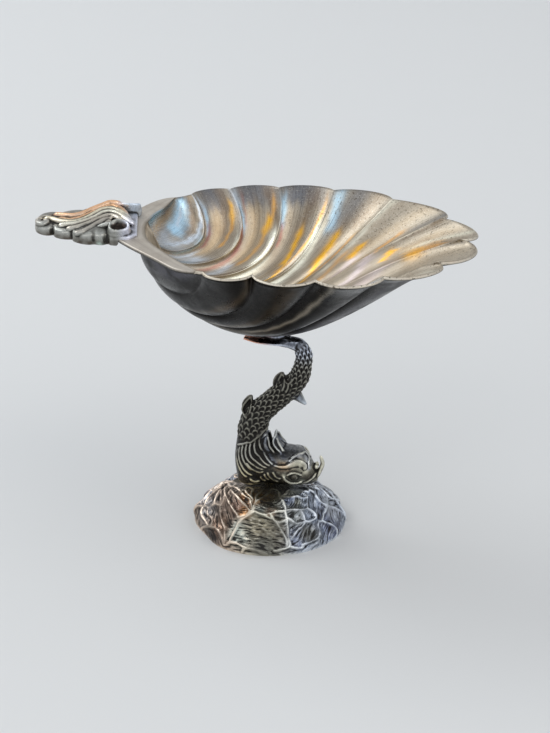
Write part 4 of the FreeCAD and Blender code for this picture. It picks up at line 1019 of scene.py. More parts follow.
@dataclass
class ThumbPiece:
    """The cast leaf handle on the dish's tang, in metres from the foot's axis."""

    leaf_sides: int = 40
    scroll_sides: int = 36
    rim_height: float = 0.0975
    length: float = 0.030
    tip_along: float = 0.0705
    half_width: float = 0.0137
    crest: float = 0.0039
    drop: float = 0.0023
    seat_along: float = 0.05125
    strand_width: float = 0.00115
    strand_thickness: float = 0.0008
    finger_radius: float = 0.00075
    scroll_radius: float = 0.0033
    scroll_wall: float = 0.0009
    scroll_height: float = 0.0038
    scroll_tilt: float = 0.32
    scroll_station: float = 0.885
    scroll_across: float = 0.70
    lean: float = 0.05
    root_skew: float = 0.0012
    voxel: float = 0.0002

    # Station, half width, edge depth and crest, as shares of the leaf's.
    LEAF = ((0.0, 0.30, 0.5, 0.36), (0.03, 0.44, 0.7, 0.42), (0.10, 0.54, 0.85, 0.46),
            (0.16, 0.52, 0.95, 0.46), (0.195, 0.46, 1.0, 0.44), (0.23, 0.60, 1.0, 0.46),
            (0.30, 0.70, 1.0, 0.50), (0.37, 0.72, 1.0, 0.55), (0.41, 0.70, 1.05, 0.58),
            (0.44, 0.80, 1.15, 0.60), (0.53, 0.89, 1.25, 0.64), (0.60, 0.90, 1.3, 0.70),
            (0.645, 0.86, 1.3, 0.72), (0.68, 0.88, 1.3, 0.70), (0.73, 0.87, 1.35, 0.66),
            (0.775, 0.79, 1.35, 0.60), (0.82, 0.86, 1.35, 0.52), (0.90, 0.88, 1.3, 0.46),
            (0.97, 0.84, 1.2, 0.44), (1.02, 0.62, 0.9, 0.36))
    # Half width of the tang under the leaf, by place along.
    TANG_EDGE = ((-0.0526, 0.0056), (-0.0465, 0.0095), (-0.0425, 0.014), (-0.040, 0.018))
    # Strands of the plume: station, place across and height as shares.
    PLUME = (
        ((0.15, 0.12, 0.5), (0.25, 0.06, 0.55), (0.36, 0.02, 0.6), (0.45, 0.12, 0.68), (0.53, 0.33, 0.8),
         (0.62, 0.53, 0.92), (0.68, 0.64, 1.0), (0.76, 0.63, 1.0), (0.81, 0.55, 0.92)),
        ((0.21, -0.14, 0.5), (0.34, -0.27, 0.55), (0.44, -0.16, 0.6), (0.53, 0.04, 0.72),
         (0.61, 0.24, 0.87), (0.68, 0.39, 0.96), (0.75, 0.41, 0.98), (0.84, 0.23, 0.92),
         (0.91, -0.01, 0.8)),
        ((0.08, -0.21, 0.55), (0.16, -0.22, 0.55), (0.27, -0.35, 0.55), (0.40, -0.40, 0.58),
         (0.49, -0.27, 0.65), (0.57, -0.03, 0.78), (0.63, 0.17, 0.9), (0.71, 0.25, 0.96),
         (0.80, 0.17, 0.95), (0.90, -0.05, 0.85), (0.96, -0.24, 0.7)),
        ((0.26, -0.55, 0.45), (0.32, -0.52, 0.5), (0.42, -0.49, 0.55), (0.51, -0.35, 0.62),
         (0.60, -0.16, 0.75), (0.66, 0.04, 0.86), (0.74, 0.11, 0.9), (0.84, -0.01, 0.88),
         (0.94, -0.26, 0.78), (1.01, -0.39, 0.6)),
        ((0.35, -0.70, 0.4), (0.45, -0.63, 0.48), (0.54, -0.45, 0.55), (0.62, -0.25, 0.66),
         (0.68, -0.12, 0.76), (0.74, -0.05, 0.8), (0.81, -0.10, 0.8), (0.88, -0.24, 0.74)),
        ((0.45, -0.91, 0.3), (0.53, -0.81, 0.4), (0.59, -0.66, 0.5), (0.64, -0.45, 0.58),
         (0.69, -0.24, 0.64), (0.74, -0.13, 0.66), (0.78, -0.15, 0.66)),
    )
    CURL = ((0.13, -0.10, 0.48), (0.07, -0.08, 0.46), (0.035, -0.20, 0.44), (0.045, -0.38, 0.42),
            (0.09, -0.45, 0.44), (0.12, -0.36, 0.48), (0.10, -0.27, 0.5))
    FINGERS = (
        ((0.54, -0.83, 0.3), (0.60, -0.75, 0.35), (0.63, -0.56, 0.45), (0.66, -0.38, 0.5)),
        ((0.64, -0.74, 0.28), (0.67, -0.65, 0.38), (0.68, -0.46, 0.48), (0.70, -0.30, 0.55)),
        ((0.72, -0.74, 0.3), (0.72, -0.51, 0.42), (0.73, -0.32, 0.52), (0.77, -0.21, 0.6)),
        ((0.66, -0.60, 0.45), (0.72, -0.62, 0.7), (0.78, -0.62, 0.85), (0.84, -0.55, 0.8)),
    )

    def point(self, station: float, across: float, height: float) -> tuple[float, float, float]:
        """Place from shares of the leaf's length, half width and crest."""
        return (station * self.length - self.tip_along, across * self.half_width,
                self.rim_height + height * self.crest)

    def leaf(self, skin: Skin) -> None:
        """Solid leaf under the strands."""
        turns = circle(self.leaf_sides)
        round_y = np.sign(np.cos(turns)) * np.abs(np.cos(turns)) ** 0.7
        rings = []
        for station, width, drop, crest in through(self.LEAF, 130):
            low = -drop * self.drop
            high = crest * self.crest
            height = np.where(np.sin(turns) > 0, np.abs(np.sin(turns)) ** 0.6 * high,
                              np.abs(np.sin(turns)) ** 0.35 * low)
            skew = self.root_skew * max(station - 0.85, 0.0) / 0.15 * round_y
            ring = np.stack([station * self.length - self.tip_along - skew,
                             (round_y * width - self.lean) * self.half_width, self.rim_height + height],
                             axis=1)
            rings.append(ring)
        close_rings(skin, np.array(rings))

    def root_scroll(self, skin: Skin, side: float) -> None:
        """Open scroll: a rolled wall round a cup."""
        x, y, z = self.point(self.scroll_station, side * self.scroll_across, 0.0)
        outer, inner = self.scroll_radius, self.scroll_radius - self.scroll_wall
        profile = [(0.0, -0.0016), (outer * 0.9, -0.0016), (outer * 1.10, self.scroll_height * 0.40),
                   (outer * 0.97, self.scroll_height * 0.9),
                   (outer - self.scroll_wall / 2, self.scroll_height),
                   (inner, self.scroll_height * 0.88), (inner * 0.8, self.scroll_height * 0.45),
                   (0.0, self.scroll_height * 0.35)]
        turns = circle(self.scroll_sides)
        rings = []
        for radius, height in profile:
            reach = max(radius, 1e-5)
            wave = 1.0 + 0.04 * np.cos(3.0 * turns + 0.6)
            outward = 0.86 * reach * wave * np.sin(turns)
            lift = height * (1.0 - self.scroll_tilt * side * outward / outer)
            rings.append(np.stack([x + reach * wave * np.cos(turns), y + outward, z + lift], axis=1))
        close_rings(skin, np.array(rings))

    def strands(self, skin: Skin) -> None:
        """Plume, curled tip and leaf fingers."""
        for rows in self.PLUME + (self.CURL,):
            table = [(*self.point(*row), self.strand_width, self.strand_thickness) for row in rows]
            strand(skin, table, 60)
        for rows in self.FINGERS:
            for side in (1.0, -1.0):
                table = [(*self.point(station, side * across, height), self.finger_radius,
                          self.finger_radius)
                         for station, across, height in rows]
                strand(skin, table, 24)

    def build(self) -> bpy.types.Mesh:
        """The handle as one casting, cut flat where it lies on the tang."""
        skin = Skin()
        self.leaf(skin)
        self.strands(skin)
        for side in (1.0, -1.0):
            self.root_scroll(skin, side)
        mesh = cast(skin, "thumb_cast", self.voxel, 3, 14)
        points = coordinates(mesh)
        edge = np.interp(points[:, 0], *np.array(self.TANG_EDGE).T)
        seated = ((points[:, 0] > -self.seat_along) & (np.abs(points[:, 1]) < edge)
                  & (points[:, 2] < self.rim_height + 0.00002))
        points[seated, 2] = self.rim_height + 0.00002
        set_coordinates(mesh, points)
        self.paint(mesh, points)
        return mesh

    def paint(self, mesh: bpy.types.Mesh, points: np.ndarray) -> None:
        """Stores coat and glint: copper on the crest's strands, cream below, painted lilac reflection at
        the root.
        """
        station = (points[:, 0] + self.tip_along) / self.length
        plan = np.stack([station, points[:, 1] / self.half_width * self.half_width / self.length], axis=1)
        height = (points[:, 2] - self.rim_height) / self.crest
        coat = np.tile(np.array([0.40, 0.37, 0.32]), (len(points), 1))
        coat = mix(coat, (0.30, 0.30, 0.27), ramp(-points[:, 1], 0.0045, 0.0075))
        squeeze = np.array([1.0, self.half_width / self.length])
        for rows, colour in zip(self.PLUME, ((0.92, 0.46, 0.19), (0.90, 0.44, 0.18), (0.90, 0.78, 0.56),
                                             (0.94, 0.88, 0.72), (0.58, 0.52, 0.42), (0.48, 0.43, 0.36))):
            near = close_to(plan, np.array(rows)[:, :2] * squeeze, 0.036) * ramp(height, 0.35, 0.55)
            coat = mix(coat, colour, near * 0.9)
        # Lilac-blue at the root: a painted reflection.
        coat = mix(coat, (0.66, 0.67, 0.78), ramp(station, 0.86, 1.0) * 0.8)
        cup = np.linalg.norm((plan - np.array([self.scroll_station, -self.scroll_across]) * squeeze),
                             axis=1)
        inside = (1.0 - ramp(cup, 0.045, 0.085)) * (1.0 - ramp(height, 0.75, 1.0))
        coat = mix(coat, (0.36, 0.20, 0.12), inside)
        # Ice-blue on the far side: a painted reflection.
        coat = mix(coat, (0.56, 0.66, 0.76),
                   ramp(points[:, 1], 0.004, 0.008) * ramp(station, 0.74, 0.84) * 0.8)
        blotch = ramp(rough(points * 500.0), -0.5, 0.5)
        wall = 1.0 - ramp(height, -0.35, 0.15)
        coat = mix(coat, (0.07, 0.052, 0.038), wall * (0.55 + 0.4 * blotch))
        coat = mix(coat, (0.42, 0.50, 0.44), np.exp(-((station - 0.71) / 0.035) ** 2) * wall * blotch)
        store(mesh, "coat", with_alpha(coat))
        store(mesh, "glint", with_alpha(np.minimum(coat * 1.15 + 0.09 * (1.0 - 0.75 * wall)[:, None], 1.0)))


@dataclass
class DolphinStem:
    """The cast dolphin, head down on the rock, in metres from the foot's axis."""

    foot_height: float = 0.0145
    tail_height: float = 0.0652
    sway: float = 0.0105
    girth: float = 0.0055
    head_length: float = 0.0205
    head_half_width: float = 0.0068
    head_height: float = 0.0116
    head_sides: int = 48
    scale_pitch: float = 0.00142
    scales_round: int = 11
    scale_relief: float = 0.0006
    strand_radius: float = 0.00036
    voxel: float = 0.0002

    # Body from the gills to the bend: X as a share of the sway, height as a share of the stem
    # and radius as a share of the girth.
    BODY = ((-0.50, 0.0, 0.9), (-0.535, 0.10, 0.98), (-0.55, 0.18, 0.97), (-0.535, 0.281, 0.87),
            (-0.41, 0.415, 0.80), (-0.08, 0.50, 0.69), (0.47, 0.608, 0.65), (0.87, 0.70, 0.57),
            (1.0, 0.80, 0.49), (1.0, 0.862, 0.46), (0.88, 0.915, 0.42), (0.58, 0.94, 0.34))
    # Tail fin: X, height below the dish, half width and half thickness.
    TAIL = ((0.80, 0.0042, 0.0024, 0.0020), (0.55, 0.0034, 0.0034, 0.0015), (0.25, 0.0028, 0.0046, 0.0011),
            (-0.20, 0.0024, 0.0048, 0.0009), (-0.50, 0.0024, 0.0032, 0.0008),
            (-0.70, 0.0027, 0.0012, 0.0006))
    HEAD = ((0.0, 0.70, 1.05, -0.02), (0.22, 0.93, 1.02, -0.05), (0.46, 1.0, 1.04, -0.06),
            (0.62, 0.97, 1.02, -0.06), (0.76, 0.84, 0.97, -0.05), (0.88, 0.62, 0.72, -0.03),
            (0.97, 0.34, 0.40, 0.02), (1.0, 0.18, 0.26, 0.05))
    # Lines of the mane and of the collar's rim: station and height on the head.
    MANE = (
        ((0.13, 1.46), (0.12, 1.25), (0.15, 1.04), (0.22, 0.88), (0.30, 0.75), (0.35, 0.69)),
        ((0.07, 1.39), (0.05, 1.19), (0.07, 0.98), (0.15, 0.81), (0.24, 0.70), (0.31, 0.66)),
        ((0.0, 1.29), (-0.02, 1.08), (0.0, 0.89), (0.07, 0.74), (0.17, 0.64), (0.26, 0.60)),
        ((-0.06, 1.25), (-0.08, 1.04), (-0.07, 0.85), (0.0, 0.68), (0.10, 0.57), (0.21, 0.54)),
        ((-0.12, 1.19), (-0.14, 0.98), (-0.12, 0.78), (-0.06, 0.61), (0.03, 0.49), (0.13, 0.44),
         (0.21, 0.49)),
        ((-0.17, 1.11), (-0.19, 0.89), (-0.17, 0.68), (-0.12, 0.51), (-0.05, 0.38), (0.03, 0.31)),
        ((-0.21, 1.01), (-0.22, 0.81), (-0.21, 0.62), (-0.17, 0.45), (-0.12, 0.32), (-0.06, 0.24)),
        ((0.25, 1.63), (0.19, 1.57), (0.14, 1.47), (0.08, 1.39), (0.0, 1.28), (-0.06, 1.26), (-0.12, 1.20),
         (-0.18, 1.15), (-0.22, 1.11)),
        ((-0.07, 0.69, 0.0003), (-0.03, 0.58, 0.0006), (0.02, 0.48, 0.0004)),
    )
    # Curls of the cheek.
    CURLS = (
        ((0.26, 0.49), (0.29, 0.36), (0.36, 0.25), (0.44, 0.20)),
        ((0.34, 0.52), (0.39, 0.37), (0.47, 0.30)),
        ((0.15, 0.32), (0.18, 0.23), (0.23, 0.18)),
        ((0.21, 0.43), (0.24, 0.31), (0.29, 0.24)),
        ((-0.02, 0.20), (0.06, 0.12), (0.15, 0.14)),
    )
    # Brow and its rim, lid, pouches and jaw, with half widths.
    FEATURES = (
        ((0.35, 0.69, 0.0004), (0.45, 0.66, 0.0005), (0.55, 0.67, 0.0007), (0.63, 0.72, 0.0010),
         (0.72, 0.73, 0.0015), (0.80, 0.65, 0.0012), (0.83, 0.52, 0.0004)),
        ((0.58, 0.78, 0.0003), (0.64, 0.87, 0.00038), (0.73, 0.92, 0.00042), (0.80, 0.89, 0.00042),
         (0.86, 0.76, 0.00038), (0.88, 0.55, 0.0003)),
        ((0.55, 0.41, 0.0003), (0.63, 0.49, 0.00045), (0.71, 0.47, 0.00045), (0.78, 0.40, 0.0003)),
        ((0.51, 0.40, 0.0003), (0.53, 0.27, 0.00045), (0.61, 0.16, 0.00055), (0.70, 0.14, 0.00055),
         (0.78, 0.19, 0.00045)),
        ((0.61, 0.11, 0.0003), (0.73, 0.09, 0.00042), (0.84, 0.15, 0.00042), (0.94, 0.26, 0.0004),
         (1.01, 0.39, 0.0003)),
    )
    # Lip that curls up before the snout: station, height, half width and half thickness.
    LIP = ((0.78, 0.02, 0.40, 0.07), (0.92, 0.06, 0.34, 0.062), (0.99, 0.20, 0.27, 0.062),
           (1.04, 0.38, 0.19, 0.062), (1.07, 0.54, 0.13, 0.060), (1.06, 0.66, 0.09, 0.052),
           (1.035, 0.80, 0.05, 0.036))
    # Frill blades: middle line with half widths, then the left and the right edge.
    FRILL = (
        (((0.37, 0.73, 0.0009), (0.29, 0.84, 0.0011), (0.23, 0.99, 0.0011), (0.20, 1.20, 0.0009),
          (0.22, 1.41, 0.0003)),
         ((0.34, 0.66), (0.23, 0.79), (0.16, 0.97), (0.14, 1.18), (0.17, 1.35), (0.23, 1.45)),
         ((0.42, 0.80), (0.35, 0.94), (0.28, 1.10), (0.26, 1.24), (0.24, 1.38))),
        (((0.51, 0.90, 0.0008), (0.44, 1.03, 0.0009), (0.38, 1.15, 0.0008), (0.35, 1.28, 0.0006),
          (0.35, 1.41, 0.0003)),
         ((0.48, 0.92), (0.39, 1.06), (0.34, 1.18), (0.33, 1.30), (0.36, 1.42)),
         ((0.49, 1.0), (0.46, 1.08), (0.41, 1.22), (0.38, 1.36))),
    )
    # Fins: points of the middle line with half widths in the plane of the bend.
    FINS = (
        ((-0.56, 0.45, 0.0022), (-0.68, 0.50, 0.0016), (-0.62, 0.545, 0.0009), (-0.53, 0.568, 0.0004)),
        ((0.30, 0.63, 0.0022), (0.27, 0.67, 0.0018), (0.34, 0.705, 0.0014), (0.385, 0.733, 0.0005)),
        ((0.74, 0.595, 0.0024), (0.88, 0.566, 0.0016), (1.00, 0.54, 0.0009), (1.10, 0.522, 0.0004)),
    )
    # Edges and ribs of the fins in the plane of the bend.
    FIN_EDGES = (
        ((-0.64, 0.44), (-0.80, 0.468), (-0.73, 0.514), (-0.53, 0.566)),
        ((-0.56, 0.47), (-0.52, 0.51), (-0.53, 0.566)),
        ((0.22, 0.638), (0.29, 0.685), (0.39, 0.728)),
        ((0.39, 0.728), (0.45, 0.700), (0.60, 0.681), (0.76, 0.717)),
        ((0.46, 0.700), (0.47, 0.665), (0.40, 0.630)),
        ((0.60, 0.681), (0.58, 0.655), (0.51, 0.623)),
    )
    eye: tuple[float, float] = (0.67, 0.375)
    eye_radius: float = 0.0011

    def stem(self, along: float, height: float) -> tuple[float, float]:
        """X and Z from shares of the sway and of the stem."""
        return along * self.sway, self.foot_height + height * (self.tail_height - self.foot_height)

    def head(self, station: float, height: float) -> tuple[float, float]:
        """X and Z from shares of the head."""
        nose = self.BODY[0][0] * self.sway
        return nose + station * self.head_length, self.foot_height + height * self.head_height

    def cheek(self, x: float, z: float) -> float:
        """Half width of the head or neck at a place of the side view."""
        station = (x - self.BODY[0][0] * self.sway) / self.head_length
        rows = np.array(self.HEAD)
        width, top, low = (np.interp(station, rows[:, 0], rows[:, column]) for column in (1, 2, 3))
        middle, half = (top + low) / 2, (top - low) / 2
        rise = ((z - self.foot_height) / self.head_height - middle) / half
        head = 0.0
        if -0.02 <= station <= 1.0 and abs(rise) < 1.0:
            head = width * self.head_half_width * math.sqrt(1.0 - rise * rise)
        body = np.array(self.BODY)
        height = (z - self.foot_height) / (self.tail_height - self.foot_height)
        centre, radius = (np.interp(height, body[:6, 1], body[:6, column]) for column in (0, 2))
        reach = (x - centre * self.sway) / (radius * self.girth)
        neck = radius * self.girth * math.sqrt(1.0 - reach * reach) if abs(reach) < 1.0 else 0.0
        return max(head, neck, 0.0005)

    def scaly_body(self, skin: Skin) -> None:
        """Body with raised crescent scales from the collar to the bend."""
        count, sides = 420, 210
        table = through(self.BODY, count)
        x = table[:, 0] * self.sway
        z = self.foot_height + table[:, 1] * (self.tail_height - self.foot_height)
        line = np.stack([x, 0 * x, z], axis=1)
        radius = table[:, 2] * self.girth
        travelled = np.concatenate([[0.0], np.cumsum(np.linalg.norm(np.diff(line, axis=0), axis=1))])
        turns = circle(sides)
        relief_map = np.zeros((count, sides))
        found = np.zeros((count, sides), bool)
        rows = travelled[:, None] / self.scale_pitch
        for step in (2, 1, 0):
            row = np.floor(rows) - step
            turned = turns[None, :] / (2.0 * math.pi) * self.scales_round
            cell = turned + 0.5 * (row % 2) + 0.1 * np.sin(row * 2.3)
            beside = (cell - np.round(cell)) * 2.0
            ahead = (rows - row) / 1.75
            reach = np.sqrt((beside / 1.06) ** 2 + ahead ** 2)
            covers = (reach < 1.0) & ~found
            rim = np.exp(-((reach - 0.80) / 0.17) ** 2) * (1.0 - 0.75 * ramp(np.abs(beside), 0.45, 0.95))
            chance = np.sin(row * 12.99 + np.round(cell) * 78.23) * 43758.5 % 1.0
            crescent = 0.05 + (0.55 + 0.55 * chance) * rim - 0.5 * (1 - ramp(reach, 0.1, 0.65))
            relief_map = np.where(covers, crescent, relief_map)
            found |= covers
        height = table[:, 1][:, None]
        strength = ramp(height, 0.27, 0.32) * (1.0 - ramp(height, 0.86, 0.93))
        girth = radius[:, None] - self.scale_relief * 0.5 + relief_map * self.scale_relief * strength
        ahead = unit(np.gradient(line, axis=0))
        across = np.tile([0.0, 1.0, 0.0], (count, 1))
        rise = np.cross(ahead, across)
        rings = (line[:, None] + across[:, None] * (np.cos(turns) * girth)[:, :, None]
                 + rise[:, None] * (np.sin(turns) * girth)[:, :, None])
        close_rings(skin, rings)

    def tail(self, skin: Skin) -> None:
        """Flat tail fin under the dish, ribbed towards its tip."""
        count, sides = 80, 60
        table = through(self.TAIL, count)
        turns = circle(sides)
        rings = []
        for along, below, width, thick in table:
            ribs = 1.0 + 0.22 * np.cos(7.0 * np.cos(turns) * math.pi / 2.0) * (along < 0.5)
            rings.append(np.stack([np.full(sides, along * self.sway)
                                   + 0.0006 * np.cos(3 * np.cos(turns) * math.pi),
                                   width * np.cos(turns),
                                   self.tail_height - below + thick * np.sin(turns) * ribs], axis=1))
        table_rings = np.array(rings)
        table_rings[:, :, 2] = np.minimum(table_rings[:, :, 2], self.tail_height - 0.00005)
        close_rings(skin, table_rings[:, ::-1])
        ball(skin, np.array([0.15 * self.sway, 0.0, self.tail_height - 0.0012]), (0.0034, 0.0030, 0.0013))

    def on_cheek(self, rows: tuple[tuple[float, float], ...], side: float, radius: float,
                 proud: float = 1.0) -> list[tuple[float, ...]]:
        """Rows of a strand that follows the head's surface."""
        table = []
        for station, height, *width in through(rows, 4 * len(rows)):
            x, z = self.head(station, height)
            wide = width[0] if width else radius
            table.append((x, side * self.cheek(x, z) * proud, z, min(wide, 0.0007), wide))
        return table

    def flank(self, x: float, z: float) -> float:
        """Half width of the body at a place of the side view."""
        table = through(self.BODY, 200)
        centre_x, centre_z = self.stem(table[:, 0], table[:, 1])
        away = np.hypot(centre_x - x, centre_z - z)
        nearest = int(np.argmin(away))
        return math.sqrt(max((table[nearest, 2] * self.girth) ** 2 - away[nearest] ** 2, 0.0005 ** 2))

    def face(self, skin: Skin) -> None:
        """Head with its mane, curls, brows, pouches and eyes."""
        rings = []
        turns = circle(self.head_sides)
        for station, width, top, low in through(self.HEAD, 50):
            x, high = self.head(station, top)
            _, deep = self.head(station, low)
            rings.append(np.stack([np.full(48, x), -width * self.head_half_width * np.cos(turns),
                                   (high + deep) / 2 + (high - deep) / 2 * np.sin(turns)], axis=1))
        close_rings(skin, np.array(rings))
        for side in (-1.0, 1.0):
            for rows in self.MANE:
                strand(skin, self.on_cheek(rows, side, self.strand_radius), 40, 10)
            for rows in self.CURLS:
                strand(skin, self.on_cheek(rows, side, self.strand_radius * 1.15), 24, 10)
            for rows in self.FEATURES:
                strand(skin, self.on_cheek(rows, side, self.strand_radius), 50, 12)
            x, z = self.head(*self.eye)
            ball(skin, np.array([x, side * (self.cheek(x, z) - 0.0002), z]), (self.eye_radius,) * 3)
            x, z = self.head(0.98, 0.49)
            ball(skin, np.array([x, side * 0.0011, z]), (0.0007, 0.0007, 0.0008))

    def blades(self, skin: Skin) -> None:
        """Frill, fins and the curled lip."""
        for middle, *edges in self.FRILL:
            for side in (-1.0, 0.0, 1.0):
                table = []
                for number, (station, height, width) in enumerate(middle):
                    x, z = self.head(station, height)
                    spread = side * (0.0030 - 0.00025 * number)
                    table.append((x, spread, z, 0.0006 if side else 0.0022 - 0.0003 * number, width))
                strand(skin, table, 30, 12)
                for rows in edges if side else ():
                    places = [(*self.head(*row), 0.0036 - 0.0013 * number / (len(rows) - 1))
                              for number, row in enumerate(rows)]
                    strand(skin, [(x, side * spread, z, 0.00042, 0.00032) for x, z, spread in places], 40,
                           10)
        for rows in self.FIN_EDGES:
            for side in (-1.0, 1.0):
                table = []
                for row in through(rows, 12):
                    x, z = self.stem(*row)
                    table.append((x, side * (self.flank(x, z) + 0.0001), z, 0.0004, 0.00034))
                strand(skin, table, 30, 10)
        for rows in self.FINS:
            table = []
            for along, height, width in rows:
                x, z = self.stem(along, height)
                table.append((x, 0.0, z, 0.00055, width))
            strand(skin, table, 24, 14)
        table = [(*self.place(station, height), width * self.head_half_width, thick * self.head_height)
                 for station, height, width, thick in self.LIP]
        strand(skin, table, 40, 18)

    def place(self, station: float, height: float) -> tuple[float, float, float]:
        """Middle point of the head's side view."""
        x, z = self.head(station, height)
        return x, 0.0, z

    def build(self) -> bpy.types.Mesh:
        """The dolphin as one casting, cut flat on the rock."""
        skin = Skin()
        self.scaly_body(skin)
        self.tail(skin)
        self.face(skin)
        self.blades(skin)
        mesh = cast(skin, "dolphin_cast", self.voxel, 1, 8)
        points = coordinates(mesh)
        points[:, 2] = np.clip(points[:, 2], self.foot_height + 0.00002, self.tail_height - 0.00002)
        set_coordinates(mesh, points)
        self.paint(mesh, points)
        return mesh

    def paint(self, mesh: bpy.types.Mesh, points: np.ndarray) -> None:
        """Stores coat and glint: straw on the head, bluish at the bend, copper at the tail's tip, with
        painted light.
        """
        height = (points[:, 2] - self.foot_height) / (self.tail_height - self.foot_height)
        view = np.stack([(points[:, 0] - self.BODY[0][0] * self.sway) / self.head_length,
                         (points[:, 2] - self.foot_height) / self.head_height * self.head_height
                         / self.head_length], axis=1)
        flat = np.array([1.0, self.head_height / self.head_length])
        brow, rim, _, pouch, _ = ([(row[0], row[1] * flat[1]) for row in rows] for rows in self.FEATURES)
        on_head = ramp(view[:, 0], 0.30, 0.5) * (1.0 - ramp(height, 0.22, 0.30))
        bend = ramp(height, 0.78, 0.90)
        tip = ramp(height, 0.88, 0.93) * (1.0 - ramp(points[:, 0], -0.005, 0.003))
        coat = np.tile(np.array([0.040, 0.039, 0.035]), (len(points), 1))
        coat = mix(coat, (0.10, 0.092, 0.072), on_head)
        # Bluish coat at the bend: a painted reflection.
        coat = mix(coat, (0.13, 0.14, 0.165), bend)
        coat = mix(coat, (0.34, 0.13, 0.08), tip)
        glint = np.tile(np.array([0.46, 0.45, 0.40]), (len(points), 1))
        glint = mix(glint, (0.25, 0.24, 0.20), ramp(height, 0.27, 0.31) * (1.0 - ramp(height, 0.70, 0.85)))
        glint = mix(glint, (0.66, 0.60, 0.40), 1.0 - ramp(height, 0.05, 0.22))
        glint = mix(glint, (0.86, 0.83, 0.68), on_head)
        # Bluish glint at the bend: a painted reflection.
        glint = mix(glint, (0.72, 0.77, 0.88), bend)
        glint = mix(glint, (0.80, 0.40, 0.27), tip)
        # Painted highlights: copper and cream on the brow, cream on the pouch, grey on the brow's rim.
        for rows, colour, reach in ((brow[:4], (0.62, 0.42, 0.26), 0.05),
                                    (brow[3:], (0.80, 0.76, 0.60), 0.055),
                                    (pouch, (0.88, 0.86, 0.70), 0.035), (rim, (0.62, 0.64, 0.66), 0.03)):
            near = close_to(view, rows, reach) * on_head
            coat, glint = mix(coat, colour, near), mix(glint, colour, near * 0.6)
        # Painted light: the top of the head lighter and bluer.
        crown_sheen = on_head * ramp(view[:, 1] / flat[1], 0.75, 0.95)
        coat = mix(coat, (0.22, 0.23, 0.25), crown_sheen * 0.8)
        # Painted reflection on the frill blades: bluish-dark channels with pale edges.
        for middle, *_ in self.FRILL:
            near = close_to(view, [(row[0], row[1] * flat[1]) for row in middle], 0.045)
            coat, glint = mix(coat, (0.15, 0.165, 0.20), near), mix(glint, (0.80, 0.82, 0.80), near * 0.8)
        # Bluish light on the right fin: a painted reflection.
        near = close_to(points[:, [0, 2]], [self.stem(*row[:2]) for row in self.FINS[2][1:]], 0.0011)
        coat, glint = mix(coat, (0.36, 0.40, 0.46), near), mix(glint, (0.70, 0.76, 0.82), near)
        eye = np.array([self.eye[0], self.eye[1] * flat[1]])
        near = np.exp(-(np.linalg.norm(view - eye, axis=1) / 0.042) ** 2)
        coat = mix(coat, (0.03, 0.028, 0.022), near * 1.6)
        glint = mix(glint, (0.12, 0.11, 0.09), near * 1.6)
        store(mesh, "coat", with_alpha(coat))
        store(mesh, "glint", with_alpha(glint))


